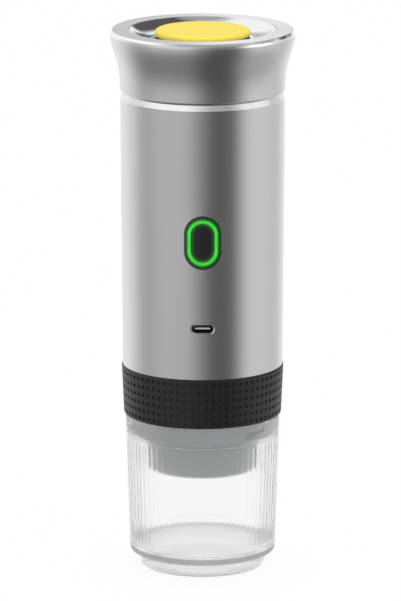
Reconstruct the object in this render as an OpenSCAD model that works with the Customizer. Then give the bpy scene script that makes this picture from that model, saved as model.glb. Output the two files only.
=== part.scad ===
// Portable electric espresso maker: a clear cup below, a brew base with a dimpled grip ring,
// a metal sleeve with battery, pump and water tank, and a flared screw lid with a vent plug.
// Millimetres, +Z up, origin at the centre of the cup's foot, front of the object at -Y.

/* [Cup] */
// Height of the clear cup from foot to rim
cup_h = 68.5; // [66:0.5:85]
// Wall of the cup at its mouth
cup_wall = 1.6; // [1.5:0.1:1.8]
// Height of the cup's foot
foot_h = 6; // [5:0.5:8]
// How far the foot sits inside the cup's side
foot_inset = 4.8; // [4:0.2:6]
// Loss of radius from the cup's mouth to its shoulder
cup_taper = 2; // [1.2:0.1:2.4]
// Flutes round the inside of the cup
flute_count = 72; // [48:12:72]
// Depth of one flute
flute_depth = 0.15; // [0.1:0.01:0.2]

/* [Brew base] */
// Height of the dimpled grip ring
grip_h = 22; // [22:0.5:28]
// Loss of radius from the grip ring's top to its bottom
grip_taper = 0.9; // [0.6:0.05:1.4]
// How far the grip ring stands out of the sleeve
grip_proud = 0.4; // [0.3:0.1:0.9]
// Dimples round the grip ring
dimple_count = 72; // [36:12:72]
// Rows of dimples
dimple_rows = 6; // [4:1:6]
// Diameter of one dimple
dimple_d = 1.5; // [1:0.1:1.8]
// Depth of the coffee basket
basket_h = 26; // [20:0.5:27]
// Reach of the nozzle housing below the grip ring
nozzle_drop = 25; // [24:0.5:34]

/* [Sleeve] */
// Diameter of the metal sleeve at its top
body_d = 72; // [71:0.5:78]
// Loss of radius from the sleeve's top to its bottom
body_taper = 0.8; // [0:0.1:1]
// Height of the sleeve
body_h = 118.8; // [116:0.1:130]
// Thickness of the sleeve
shell_wall = 1.2; // [0.8:0.1:1.4]
// Height of the bright trim ring over the sleeve
trim_h = 2.9; // [2:0.1:3.4]
// Room between the upper deck and the water tank
tank_gap = 8.3; // [6.6:0.1:11.6]

/* [Button] */
// Height of the button's centre above the sleeve's lower edge
button_up = 61.1; // [56:0.1:61.3]
// Width of the button's bezel
bezel_w = 15.9; // [15.4:0.1:17]
// Height of the button's bezel
bezel_h = 23.55; // [22:0.05:24]
// Breadth of the bezel's visible rim
bezel_rim = 1.25; // [1:0.05:1.4]
// Breadth of the light ring
light_w = 1.65; // [1.2:0.05:1.9]
// Travel of the button
button_travel = 0.8; // [0.4:0.1:0.9]

/* [Charging socket] */
// Height of the socket's centre above the sleeve's lower edge
usb_up = 22.8; // [20:0.2:26]
// Width of the socket's opening
usb_w = 8.34; // [8.34:0.02:8.4]
// Height of the socket's opening
usb_h = 2.56; // [2.56:0.02:2.7]

/* [Lid] */
// Height of the lid
lid_h = 27; // [26:0.5:32]
// Flare of the lid in radius
lid_flare = 4.4; // [3.4:0.1:5]
// Radius of the dish in the lid's top
dish_r = 32.1; // [31:0.1:32.4]
// Depth of the dish
dish_drop = 4.3; // [3.8:0.1:4.8]
// Radius of the vent plug's pad
plug_r = 20.9; // [18:0.1:21.2]
// Thickness of the vent plug's pad
plug_t = 3; // [2.6:0.1:3.2]

/* [Pump] */
// Teeth on each pump gear
gear_teeth = 12; // [11:1:12]
// Gear module
gear_module = 1; // [0.95:0.05:1]
// Width of the gears
gear_w = 9.7; // [8:0.1:10]
// Gap between the motor and the battery cells
motor_gap = 2.6; // [2.2:0.1:4]
// Length of the motor
motor_l = 31; // [28:0.5:32]
// Diameter of one battery cell
cell_d = 18.4; // [16:0.2:18.4]
// Length of one battery cell
cell_l = 49.6; // [46:0.2:49.6]

/* [Hidden] */
$fn = 96;
// Gap at a seam between pieces that turn on each other
seam = 0.3;
// Gap between round faces of pieces that move on each other
play = 0.3;
// Gap between round faces of pieces that are fixed together
snug = 0.1;
// Gap round a turning shaft
run = 0.05;

// Levels, foot to top
z_rim = cup_h;
seal_t = 0.7;
z_grip = z_rim + seam;
z_base = z_rim + seal_t;
z_grip_top = z_grip + grip_h;
z_base_top = z_grip_top - seam;
z_body = z_grip_top + seam;
z_trim = z_body + body_h;
z_trim_top = z_trim + trim_h;
z_lid = z_trim_top + 0.2;
z_top = z_lid + lid_h;

// Radii of the outer skin
r_top = body_d / 2;
r_bot = r_top - body_taper;
function body_r(z) = r_bot + body_taper * (z - z_body) / body_h;
function shell_r(z) = body_r(z) - shell_wall;
grip_r = r_bot + grip_proud;
grip_r_low = grip_r - grip_taper;

// Screw threads: a gap between the walls and ridges that reach across it
thread_gap = 1.6;
ridge_h = 1.2;
ridge_flank = 0.3;
starts = 3;
cup_lead = 18;
head_lead = 12;

// Cup
mouth_r = grip_r_low - 0.65;
mouth_in = mouth_r - cup_wall;
z_shoulder = foot_h + 2;
shoulder_r = mouth_r - cup_taper;
cup_slope = (mouth_r - shoulder_r) / (cup_h - z_shoulder);
function cup_r(z) = shoulder_r + cup_slope * (z - z_shoulder);
cup_body_wall = cup_wall + 0.4;
function cup_in(z) = cup_r(z) - cup_body_wall;
z_band = cup_h - 9.5;
z_cup_floor = foot_h + 3.4;
floor_fillet = 1.6;
z_flute = z_cup_floor + 2;
flute_r = 3;
foot_r = shoulder_r - foot_inset;
cup_ridge_t = 2.2;
z_cup_ridge = cup_h - 5.2;
cup_ridge_a = -55;
lug_t = 2;

// Brew base
base_r = mouth_r - 0.8;
base_in = base_r - 3.6;
skirt_r = mouth_in - thread_gap;
skirt_in = skirt_r - 2;
z_skirt = z_rim - 8.5;
z_nozzle = z_grip - nozzle_drop;
z_ledge = z_base + 7.8;
ledge_t = 3;
basket_r = base_in - 7.4;
bore_r = basket_r + play;
nozzle_r = bore_r + 2;
spout_r = 4;
head_ridge_t = 1.5;
z_head_ridge = z_base_top - 5.7;
flange_t = 1;
flange_r = base_in - 2.6;
z_basket = z_ledge + flange_t - basket_h;
brew_seal_t = 2.5;
z_neck = z_ledge + flange_t + brew_seal_t;

// Brew head and chassis
neck_r = base_in - thread_gap;
head_t = 3.2;
z_head = z_body + head_t;
head_r = shell_r(z_body) - snug;
recess_r = basket_r - 1.9;
z_recess = z_neck + 5.5;
z_deck = z_head + 8;
deck_t = 2;
z_floor = z_deck + deck_t;
deck_r = shell_r(z_deck) - 0.5;
foot_ring_r = neck_r + 2.9;
foot_post_r = deck_r - foot_ring_r - 0.3;
z_upper = z_floor + cell_l + 1.4;
upper_t = 2.4;
post_r = 2.3;
post_ring_r = deck_r - post_r - 0.2;
stay_r = 1.2;

// Pump and motor
pitch_r = gear_module * gear_teeth / 2;
tip_r = pitch_r + gear_module;
root_r = pitch_r - 1.25 * gear_module;
pressure = 25;
base_circle = pitch_r * cos(pressure);
gear_gap = 0.1;
centre_d = 2 * pitch_r + gear_gap;
cavity_r = tip_r + 0.25;
pump_r = cavity_r + 4.2;
cover_t = 2;
side_gap = 0.15;
z_gear = z_floor + cover_t + side_gap;
z_cavity_top = z_gear + gear_w + side_gap;
pump_top_t = 2;
seat_t = 2;
z_motor = z_cavity_top + pump_top_t + seat_t;
shaft_r = 1.5;
boss_r = 5;
port_x = sqrt(cavity_r * cavity_r - centre_d * centre_d / 4) + 1.1;
port_y = -centre_d / 2;
port_r = 1.3;
nipple_r = 2.2;
hose_r = 3.2;
hose_in = nipple_r + snug;
z_port = (z_gear + z_gear + gear_w) / 2;
hose_bend = 4.5;
hose_x = -(pump_r + 3 + hose_bend);
cell_r = cell_d / 2;
cell_gap = 0.9;
cell_ring_r = shell_r(z_floor) - cell_r - cell_gap;
motor_r = cell_ring_r - cell_r - motor_gap;
motor_tab_x = 0.57 * motor_r;
cell_angles = [30, 90, 150];

// Board, button and socket
z_button = z_body + button_up;
z_usb = z_body + usb_up;
board_t = 1.6;
board_w = 26;
board_y = r_bot - 6.8;
z_board = z_floor + 1;
z_tank = z_upper + upper_t + tank_gap;
z_board_top = min(z_button + 11.8, z_tank - 1.6);
light_out_w = bezel_w - 2 * bezel_rim;
light_out_h = bezel_h - 2 * bezel_rim - 0.65;
cap_w = light_out_w - 2 * light_w - 2 * play;
cap_h = light_out_h - 2 * light_w - 2 * play;
bezel_back = board_y + 3.8;
cap_back = bezel_back + 1;
switch_l = 2.5;
post_gap = 0.1;
cap_post = cap_back - button_travel - post_gap;
plunger_end = cap_post - button_travel - post_gap;
usb_skin = 0.3;
usb_front = r_bot - 0.6;
screw_z = (z_usb + z_button) / 2;

// Tank and collar
collar_h = 11.6;
z_collar = z_trim_top - 0.2 - collar_h;
collar_low_r = shell_r(z_collar) - snug - 0.05;
collar_r = r_top - 2.8;
collar_in = collar_r - 2.8;
tank_r = collar_in - 0.4;
tank_wall = 0.8;
tank_seal_t = 1;
z_tank_top = z_collar - tank_seal_t;
tank_h = z_tank_top - z_tank;
z_heater = z_tank + 0.15 * tank_h;
heater_h = 0.44 * tank_h;
tank_rim_r = collar_low_r - 1.4;
lid_ridge_t = 1.5;
z_lid_ridge = z_trim_top - 6.3;

// Lid
liner_r = collar_in - thread_gap;
z_liner = z_collar;
lid_seal_t = 1.5;
z_liner_flange = z_collar + collar_h + lid_seal_t;
lid_low_r = r_top + 0.1;
lid_rim_r = lid_low_r + lid_flare - 0.1;
lid_edge = 2.2;
lid_in = lid_low_r - 1.7;
liner_flange_r = lid_in - 0.2;
liner_flange_t = 2;
lid_boss_ring = lid_in - 2.8;
lid_boss_h = 12;
z_shelf = z_top - 4.5;
z_dish = z_top - dish_drop;
dish_t = 1.2;
dish_floor_r = plug_r + 0.7;
hub_in = 7.5;
stem_r = hub_in - play;
z_pad = z_top - plug_t;

// Shared shapes

function arc(c, r, a0, a1, n) = [
    for (i = [0 : n]) let (a = a0 + (a1 - a0) * i / n) [c[0] + r * cos(a), c[1] + r * sin(a)]
];

module tube(r_out, r_in, z0, z1) {
    translate([0, 0, z0])
        difference() {
            cylinder(r = r_out, h = z1 - z0);
            translate([0, 0, -1])
                cylinder(r = r_in, h = z1 - z0 + 2);
        }
}

module rod(r, z0, z1) {
    translate([0, 0, z0])
        cylinder(r = r, h = z1 - z0);
}

module round_slot(w, h) {
    if (h > w) {
        square([w, h - w], center = true);
        translate([0, (h - w) / 2])
            circle(d = w);
        translate([0, -(h - w) / 2])
            circle(d = w);
    } else {
        square([w - h, h], center = true);
        translate([(w - h) / 2, 0])
            circle(d = h);
        translate([-(w - h) / 2, 0])
            circle(d = h);
    }
}

// A slot-shaped bar that runs forward from y0 to y1, both counted towards the front
module front_bar(w, h, z, y0, y1) {
    translate([0, -y0, z])
        rotate([90, 0, 0])
            linear_extrude(height = y1 - y0)
                round_slot(w, h);
}

// The solid inside the sleeve's outer face, grown by d
module sleeve_solid(d) {
    translate([0, 0, z_body])
        cylinder(r1 = r_bot + d, r2 = r_top + d, h = body_h);
}

// One thread ridge that climbs along a helix
module ridge(r_in, r_out, f_in, f_out, z0, lead, a0, span, t) {
    n = ceil(span / 6);
    points = [
        for (i = [0 : n])
            let (a = a0 + span * i / n, z = z0 + lead * span * i / n / 360)
                for (p = [[r_in, f_in], [r_out, f_out], [r_out, t - f_out], [r_in, t - f_in]])
                    [p[0] * cos(a), p[0] * sin(a), z + p[1]]
    ];
    sides = [
        for (i = [0 : n - 1])
            for (j = [0 : 3])
                let (a = 4 * i + j, b = 4 * i + (j + 1) % 4)
                    for (f = [[a, b, b + 4], [a, b + 4, a + 4]])
                        f
    ];
    ends = [[3, 2, 1], [3, 1, 0], [4 * n, 4 * n + 1, 4 * n + 2], [4 * n, 4 * n + 2, 4 * n + 3]];
    polyhedron(points = points, faces = concat(sides, ends));
}

module outer_ridges(r_wall, z0, lead, a0, span, t) {
    for (k = [0 : starts - 1])
        ridge(r_wall - 0.5, r_wall + ridge_h, 0, ridge_flank, z0, lead, a0 + 360 * k / starts, span, t);
}

module inner_ridges(r_wall, z0, lead, a0, span, t) {
    for (k = [0 : starts - 1])
        ridge(r_wall - ridge_h, r_wall + 0.5, ridge_flank, 0, z0, lead, a0 + 360 * k / starts, span, t);
}

module ring_of_holes(r, h) {
    for (ring = [1 : 4])
        for (i = [0 : 6 * ring - 1])
            rotate([0, 0, 60 * i / ring])
                translate([r * ring / 4, 0, 0])
                    cylinder(r = 0.6, h = h);
}

// A cap screw: head from z0 to z1, shank on to z2
module screw(head_r, shank_r, z0, z1, z2) {
    difference() {
        union() {
            rod(head_r, z0, z1);
            rod(shank_r, z1 - 0.1, z2);
        }
        translate([0, 0, z0 - 0.1])
            cylinder(r = head_r * 0.5, h = (z1 - z0) * 0.6 + 0.1, $fn = 6);
    }
}

// Involute gear outline
function roll(a) = tan(a) * 180 / PI - a;
function flank_a(r) =
    90 / gear_teeth - gear_gap * 90 / PI / pitch_r + roll(pressure) - roll(acos(min(1, base_circle / r)));
flank_r = [for (i = [0 : 4]) base_circle + (tip_r - base_circle) * i / 4];
function tooth(a) = concat(
    [[root_r * cos(a - flank_a(base_circle)), root_r * sin(a - flank_a(base_circle))]],
    [for (r = flank_r) [r * cos(a - flank_a(r)), r * sin(a - flank_a(r))]],
    [for (i = [4 : -1 : 0]) let (r = flank_r[i]) [r * cos(a + flank_a(r)), r * sin(a + flank_a(r))]],
    [[root_r * cos(a + flank_a(base_circle)), root_r * sin(a + flank_a(base_circle))]]
);

module gear(phase) {
    translate([0, 0, z_gear])
        linear_extrude(height = gear_w)
            polygon([for (k = [0 : gear_teeth - 1]) for (p = tooth(phase + 360 * k / gear_teeth)) p]);
}

module pump_outline() {
    circle(r = pump_r);
    translate([0, -centre_d])
        circle(r = pump_r);
    translate([-pump_r, -centre_d])
        square([2 * pump_r, centre_d]);
}

module at_pump_screws() {
    for (a = [45, 135])
        rotate([0, 0, a])
            translate([cavity_r + 2, 0, 0])
                children();
    for (a = [225, 315])
        translate([0, -centre_d, 0])
            rotate([0, 0, a])
                translate([cavity_r + 2, 0, 0])
                    children();
}

module at_feet() {
    for (a = [90, 210, 330])
        rotate([0, 0, a])
            translate([foot_ring_r, 0, 0])
                children();
}

module at_cells() {
    for (a = cell_angles)
        rotate([0, 0, a])
            translate([cell_ring_r, 0, 0])
                children();
}

module at_lid_screws() {
    for (a = [30, 150, 270])
        rotate([0, 0, a])
            translate([lid_boss_ring, 0, 0])
                children();
}

// Cup

module cup() {
    color([0.9, 0.93, 0.95, 0.45]) {
        difference() {
            union() {
                rotate_extrude()
                    polygon(concat(
                        [[0, 1], [foot_r - 5, 1], [foot_r - 5.6, 0], [foot_r - 0.7, 0], [foot_r, 0.7]],
                        [[foot_r + 1.5, foot_h - 0.4], [foot_r + 1.9, foot_h]],
                        arc([shoulder_r - 2, z_shoulder], 2, -90, 0, 6),
                        [[cup_r(cup_h - 0.5), cup_h - 0.5], [mouth_r - 0.5, cup_h], [mouth_in, cup_h]],
                        [[mouth_in, z_band + 0.4], [cup_in(z_band), z_band]],
                        arc([cup_in(z_cup_floor + floor_fillet) - floor_fillet, z_cup_floor + floor_fillet],
                            floor_fillet, 0, -90, 6),
                        [[0, z_cup_floor]]
                    ));
                inner_ridges(mouth_in, z_cup_ridge, cup_lead, cup_ridge_a, 20, cup_ridge_t);
            }
            for (k = [0 : flute_count - 1])
                rotate([0, 0, 360 * (k + 0.5) / flute_count])
                    translate([cup_in(z_flute) - flute_r + flute_depth, 0, z_flute])
                        rotate([0, atan(cup_slope), 0])
                            cylinder(r = flute_r, h = z_band - 1 - z_flute);
        }
    }
}

module cup_gasket() {
    color([0.75, 0.75, 0.75])
        tube(base_r - 0.2, skirt_r + play, z_rim, z_base);
}

// Brew base

module base_body() {
    color([0.6, 0.61, 0.62]) {
        rotate_extrude()
            polygon([
                [spout_r, z_nozzle], [nozzle_r - 1.9, z_nozzle], [nozzle_r - 0.9, z_nozzle + 1],
                [nozzle_r, z_skirt], [nozzle_r, z_ledge - ledge_t], [skirt_in, z_ledge - ledge_t],
                [skirt_in, z_skirt], [skirt_r - 0.4, z_skirt], [skirt_r, z_skirt + 0.4],
                [skirt_r, z_base], [base_r, z_base], [base_r, z_base_top], [base_in + 0.5, z_base_top],
                [base_in, z_base_top - 0.5], [base_in, z_ledge], [bore_r, z_ledge],
                [bore_r, z_nozzle + 6], [spout_r + 4.5, z_nozzle + 3], [spout_r, z_nozzle + 3]
            ]);
        inner_ridges(base_in, z_head_ridge, head_lead, 0, 90, head_ridge_t);
        outer_ridges(skirt_r, z_cup_ridge - play - lug_t + cup_lead * 5 / 360, cup_lead, cup_ridge_a + 5,
            16, lug_t);
    }
}

module grip_ring() {
    row_step = (grip_h - 4.3) / (dimple_rows - 1);
    color([0.13, 0.13, 0.14])
        difference() {
            rotate_extrude()
                polygon(concat(
                    [[base_r + snug, z_grip], [grip_r_low - 1, z_grip]],
                    arc([grip_r_low - 0.8, z_grip + 0.8], 0.8, -90, 0, 4),
                    [[grip_r, z_grip_top - 0.4], [grip_r - 0.4, z_grip_top], [base_r + snug, z_grip_top]]
                ));
            for (row = [0 : dimple_rows - 1])
                let (z = z_grip + 2.15 + row * row_step, r = grip_r_low + grip_taper * (z - z_grip) / grip_h)
                    for (k = [0 : dimple_count - 1])
                        rotate([0, 0, 360 * (k + 0.5) / dimple_count])
                            translate([r - 0.5, 0, z])
                                rotate([0, 90, 0])
                                    cylinder(r = dimple_d / 2, h = 1.5);
        }
}

module outlet_nozzle() {
    color([0.85, 0.86, 0.87])
        difference() {
            union() {
                rod(spout_r + 2.5, z_nozzle + 3, z_nozzle + 4);
                rod(spout_r - snug, z_nozzle, z_nozzle + 3.05);
            }
            rod(1.2, z_nozzle - 1, z_nozzle + 5);
            translate([0, 0, z_nozzle - 0.01])
                cylinder(r1 = 3, r2 = 1.2, h = 2);
        }
}

module filter_basket() {
    z_flange = z_ledge + flange_t;
    color([0.8, 0.81, 0.82])
        difference() {
            rotate_extrude()
                polygon(concat(
                    [[0, z_basket]],
                    arc([basket_r - 2, z_basket + 2], 2, -90, 0, 4),
                    [[basket_r, z_ledge], [flange_r, z_ledge], [flange_r, z_flange]],
                    [[basket_r - 0.6, z_flange]],
                    arc([basket_r - 2, z_basket + 2], 1.4, 0, -90, 4),
                    [[0, z_basket + 0.6]]
                ));
            translate([0, 0, z_basket - 0.5])
                ring_of_holes(basket_r - 3, 2);
        }
}

module brew_gasket() {
    color([0.75, 0.74, 0.72])
        tube(flange_r, basket_r - 1.2, z_ledge + flange_t, z_neck);
}

// Brew head

module brew_head() {
    color([0.5, 0.51, 0.52])
        difference() {
            union() {
                rotate_extrude()
                    polygon([
                        [0, z_recess], [recess_r, z_recess], [recess_r, z_neck], [neck_r - 0.5, z_neck],
                        [neck_r, z_neck + 0.5], [neck_r, z_body], [head_r, z_body], [head_r, z_head],
                        [0, z_head]
                    ]);
                outer_ridges(neck_r, z_head_ridge - play - head_ridge_t + head_lead * 10 / 360, head_lead,
                    10, 60, head_ridge_t);
                translate([port_x, port_y, 0])
                    rod(nipple_r, z_head - 1, z_head + 3.4);
            }
            rod(1.55, z_recess - 1, z_recess + 5.5);
            translate([port_x, port_y, 0])
                rod(port_r, z_recess - 1, z_head + 5);
            at_feet() {
                rod(1.3, z_body - 1, z_head + 1);
                rod(2.3, z_body - 1, z_body + 1.5);
            }
        }
}

module shower_screen() {
    z0 = z_neck + 0.5;
    color([0.82, 0.83, 0.84])
        difference() {
            rotate_extrude()
                polygon([
                    [1.6, z0], [recess_r - 0.4, z0], [recess_r - 0.1, z0 + 0.3], [recess_r - 0.1, z_recess],
                    [recess_r - 0.7, z_recess], [recess_r - 0.7, z0 + 0.6], [1.6, z0 + 0.6]
                ]);
            translate([0, 0, z0 - 0.5])
                ring_of_holes(recess_r - 2.4, 2);
        }
}

module screen_screw() {
    color([0.7, 0.7, 0.7])
        screw(3.2, 1.5, z_neck - 0.9, z_neck + 0.5, z_recess + 5);
}

// Chassis

module chassis() {
    bar_z = screw_z;
    color([0.24, 0.25, 0.27])
        difference() {
            union() {
                rod(deck_r, z_deck, z_floor);
                at_feet()
                    rod(foot_post_r, z_head, z_deck + 0.5);
                difference() {
                    rod(deck_r, z_upper, z_upper + upper_t);
                    translate([-deck_r, -deck_r - 10, z_upper - 1])
                        cube([2 * deck_r, deck_r + 10 - board_y + 6, upper_t + 2]);
                }
                for (a = [0, 180, 222, 318])
                    rotate([0, 0, a])
                        translate([post_ring_r, 0, 0])
                            rod(post_r, z_floor - 0.5, z_upper + 0.4);
                for (a = [0, 60, 120, 180])
                    rotate([0, 0, a])
                        translate([tank_r + 2.75, 0, 0])
                            rod(stay_r, z_upper + 1.1, z_tank_top - tank_wall);
                translate([-post_ring_r * cos(42), -board_y + board_t + 2, bar_z - 3])
                    cube([2 * post_ring_r * cos(42), 3, 6]);
                for (x = [-10, 10])
                    translate([x, -board_y + board_t + 2.5, bar_z])
                        rotate([90, 0, 0])
                            cylinder(r = 2.2, h = 2.5);
            }
            at_feet()
                rod(1.3, z_head - 1, z_floor - 1);
            translate([port_x, port_y, 0])
                rod(hose_r + 0.4, z_deck - 1, z_floor + 1);
            translate([hose_x, port_y, 0])
                rod(hose_r + 0.4, z_upper - 1, z_upper + upper_t + 1);
            rod(motor_r + 0.5, z_upper - 1, z_upper + upper_t + 1);
            for (x = [-10, 10])
                translate([x, -board_y + board_t + 5, bar_z])
                    rotate([90, 0, 0])
                        cylinder(r = 1, h = 6);
        }
}

module chassis_screws() {
    color([0.7, 0.7, 0.7])
        at_feet()
            screw(2.2, 1.25, z_body + 0.1, z_body + 1.5, z_floor - 1.4);
}

module outlet_hose() {
    color([0.88, 0.88, 0.86])
        translate([port_x, port_y, 0])
            tube(hose_r, hose_in, z_head + 0.2, z_deck - 0.3);
}

// Pump

module pump_cover() {
    color([0.32, 0.33, 0.35])
        difference() {
            union() {
                translate([0, 0, z_floor])
                    linear_extrude(height = cover_t)
                        pump_outline();
                translate([port_x, port_y, 0])
                    rod(nipple_r, z_head + 3.8, z_floor + 0.5);
            }
            translate([port_x, port_y, 0])
                rod(port_r, z_head, z_floor + cover_t + 1);
            rod(shaft_r + run, z_floor + 0.5, z_floor + cover_t + 1);
            translate([0, -centre_d, 0])
                rod(shaft_r + run, z_floor + 0.5, z_floor + cover_t + 1);
            at_pump_screws() {
                rod(1.05, z_floor - 1, z_floor + cover_t + 1);
                rod(1.9, z_floor - 1, z_floor + 1.2);
            }
        }
}

module pump_housing() {
    z0 = z_floor + cover_t;
    z1 = z_cavity_top + pump_top_t;
    color([0.32, 0.33, 0.35])
        difference() {
            union() {
                translate([0, 0, z0])
                    linear_extrude(height = z1 - z0)
                        pump_outline();
                rod(min(motor_r, pump_r) - 0.2, z1 - 0.5, z1 + seat_t);
                translate([-pump_r + 2, port_y, z_port])
                    rotate([0, -90, 0])
                        cylinder(r = nipple_r, h = 5);
            }
            rod(cavity_r, z0 - 1, z_cavity_top);
            translate([0, -centre_d, 0])
                rod(cavity_r, z0 - 1, z_cavity_top);
            translate([-port_x + 2.5, port_y, z_port])
                rotate([0, -90, 0])
                    cylinder(r = port_r, h = pump_r + 5);
            translate([port_x, port_y, 0])
                rod(port_r, z0 - 1, z_port);
            rod(shaft_r + run, z0, z1 + seat_t + 1);
            rod(boss_r + snug, z1, z1 + seat_t + 1);
            translate([0, -centre_d, 0])
                rod(shaft_r + run, z0, z_cavity_top + 1.5);
            at_pump_screws()
                rod(1.05, z0 - 1, z_cavity_top);
        }
}

module pump_screws() {
    color([0.7, 0.7, 0.7])
        at_pump_screws()
            screw(1.8, 1, z_floor, z_floor + 1.2, z_cavity_top - 1);
}

module drive_gear() {
    color([0.78, 0.7, 0.45])
        difference() {
            gear(-90);
            rod(shaft_r + 0.02, z_gear - 1, z_gear + gear_w + 1);
        }
}

module idler_gear() {
    color([0.78, 0.7, 0.45])
        translate([0, -centre_d, 0]) {
            gear(90 + 180 / gear_teeth);
            rod(shaft_r, z_floor + 0.7, z_cavity_top + 1.3);
        }
}

module motor_can() {
    color([0.72, 0.73, 0.74])
        difference() {
            union() {
                rod(motor_r, z_motor, z_motor + motor_l);
                rod(boss_r, z_motor - seat_t + 0.2, z_motor + 0.5);
            }
            rod(motor_r - 0.9, z_motor + 2, z_motor + motor_l + 1);
            rod(shaft_r + run, z_motor - seat_t - 1, z_motor + 3);
        }
}

module motor_magnets() {
    color([0.3, 0.3, 0.31])
        for (a = [20, 200])
            rotate([0, 0, a])
                translate([0, 0, z_motor + 4])
                    rotate_extrude(angle = 140)
                        translate([motor_r - 2.7, 0])
                            square([1.7, motor_l - 12]);
}

module motor_rotor() {
    z0 = z_motor + 5;
    z1 = z_motor + motor_l - 9;
    color([0.6, 0.36, 0.2])
        difference() {
            union() {
                rod(shaft_r, z_floor + 0.7, z_motor + motor_l - 0.8);
                rod(motor_r - 3.1, z0, z1);
                rod(3, z1 - 0.5, z1 + 4);
            }
            for (a = [30, 150, 270])
                rotate([0, 0, a])
                    translate([4, -0.8, z0 - 1])
                        cube([motor_r, 1.6, z1 - z0 + 1.5]);
        }
}

module motor_end() {
    z0 = z_motor + motor_l - 2;
    color([0.85, 0.85, 0.82])
        difference() {
            union() {
                rod(motor_r - 1, z0, z0 + 2);
                for (x = [-motor_tab_x, motor_tab_x])
                    translate([x - 1.2, -0.3, z0 + 1.5])
                        cube([2.4, 0.6, 2.3]);
            }
            rod(shaft_r + run, z0 - 1, z0 + 1.5);
        }
}

// Battery and electronics

module battery_cells() {
    color([0.2, 0.45, 0.75])
        at_cells() {
            rod(cell_r, z_floor, z_floor + cell_l - 1);
            rod(3, z_floor + cell_l - 1.2, z_floor + cell_l);
        }
}

module cell_links() {
    z0 = z_floor + cell_l;
    chord = 2 * cell_ring_r * sin(30);
    color([0.8, 0.8, 0.78])
        difference() {
            union() {
                for (a = [60, 120])
                    rotate([0, 0, a])
                        translate([cell_ring_r * cos(30) - 2.5, -chord / 2, z0])
                            cube([5, chord, 0.3]);
            }
            rotate([0, 0, 90])
                translate([cell_ring_r - 5, -0.2, z0 - 1])
                    cube([12, 0.4, 3]);
        }
}

module control_board() {
    color([0.08, 0.32, 0.2])
        difference() {
            translate([-board_w / 2, -board_y, z_board])
                cube([board_w, board_t, z_board_top - z_board]);
            for (x = [-10, 10])
                translate([x, -board_y + board_t + 1, screw_z])
                    rotate([90, 0, 0])
                        cylinder(r = 1.1, h = board_t + 2);
        }
}

module board_screws() {
    color([0.7, 0.7, 0.7])
        for (x = [-10, 10])
            translate([x, 0, screw_z])
                rotate([-90, 0, 0])
                    screw(1.9, 0.95, -board_y - 1, -board_y, -board_y + board_t + 4);
}

module usb_socket() {
    color([0.75, 0.76, 0.78])
        union() {
            difference() {
                front_bar(usb_w + 2 * usb_skin, usb_h + 2 * usb_skin, z_usb, board_y, usb_front);
                front_bar(usb_w, usb_h, z_usb, board_y + 0.8, usb_front + 1);
            }
            translate([-3.35, -usb_front + 0.8, z_usb - 0.35])
                cube([6.7, usb_front - 0.8 - board_y - 0.5, 0.7]);
        }
}

module tact_switch() {
    color([0.15, 0.15, 0.16]) {
        translate([-3, -board_y - switch_l, z_button - 3])
            cube([6, switch_l, 6]);
        translate([0, -board_y - switch_l + 0.5, z_button])
            rotate([90, 0, 0])
                cylinder(r = 1.6, h = plunger_end - board_y - switch_l + 0.5);
    }
}

module leds() {
    color([0.9, 0.92, 0.85])
        for (x = [-1, 1])
            for (z = [-1, 1])
                translate([x * (light_out_w - light_w) / 2 - 0.8, -board_y - 0.8, z_button + z * 4 - 0.8])
                    cube([1.6, 0.8, 1.6]);
}

module button_bezel() {
    color([0.1, 0.1, 0.11])
        difference() {
            union() {
                intersection() {
                    front_bar(bezel_w, bezel_h, z_button, bezel_back, r_top + 2);
                    sleeve_solid(0.1);
                }
                intersection() {
                    front_bar(bezel_w + 2, bezel_h + 2, z_button, bezel_back, r_top);
                    sleeve_solid(-shell_wall - snug);
                }
            }
            front_bar(light_out_w + 2 * snug, light_out_h + 2 * snug, z_button, bezel_back - 1, r_top + 3);
        }
}

module light_ring() {
    color([0.3, 0.85, 0.3])
        difference() {
            intersection() {
                front_bar(light_out_w, light_out_h, z_button, bezel_back, r_top + 2);
                sleeve_solid(0.2);
            }
            front_bar(light_out_w - 2 * light_w, light_out_h - 2 * light_w, z_button, bezel_back - 1,
                r_top + 3);
        }
}

module button_cap() {
    color([0.12, 0.12, 0.13]) {
        intersection() {
            front_bar(cap_w, cap_h, z_button, cap_back, r_top + 2);
            sleeve_solid(0.05);
        }
        translate([0, -cap_post, z_button])
            rotate([90, 0, 0])
                cylinder(r = 2, h = cap_back - cap_post + 0.5);
    }
}

// Water

module inlet_hose() {
    color([0.88, 0.88, 0.86])
        translate([0, port_y, 0])
            difference() {
                union() {
                    translate([hose_x, 0, 0])
                        rod(hose_r, z_port + hose_bend, z_tank - 1);
                    hose_elbow(hose_r);
                    translate([-pump_r - 0.2, 0, z_port])
                        rotate([0, -90, 0])
                            cylinder(r = hose_r, h = -hose_x - hose_bend - pump_r - 0.2);
                }
                translate([hose_x, 0, 0])
                    rod(hose_in, z_port + hose_bend, z_tank);
                hose_elbow(hose_in);
                translate([-pump_r + 1, 0, z_port])
                    rotate([0, -90, 0])
                        cylinder(r = hose_in, h = -hose_x - hose_bend - pump_r + 1);
            }
}

module hose_elbow(r) {
    translate([hose_x + hose_bend, 0, z_port + hose_bend])
        rotate([90, 0, 0])
            rotate([0, 0, 180])
                rotate_extrude(angle = 90)
                    translate([hose_bend, 0])
                        circle(r = r);
}

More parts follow.
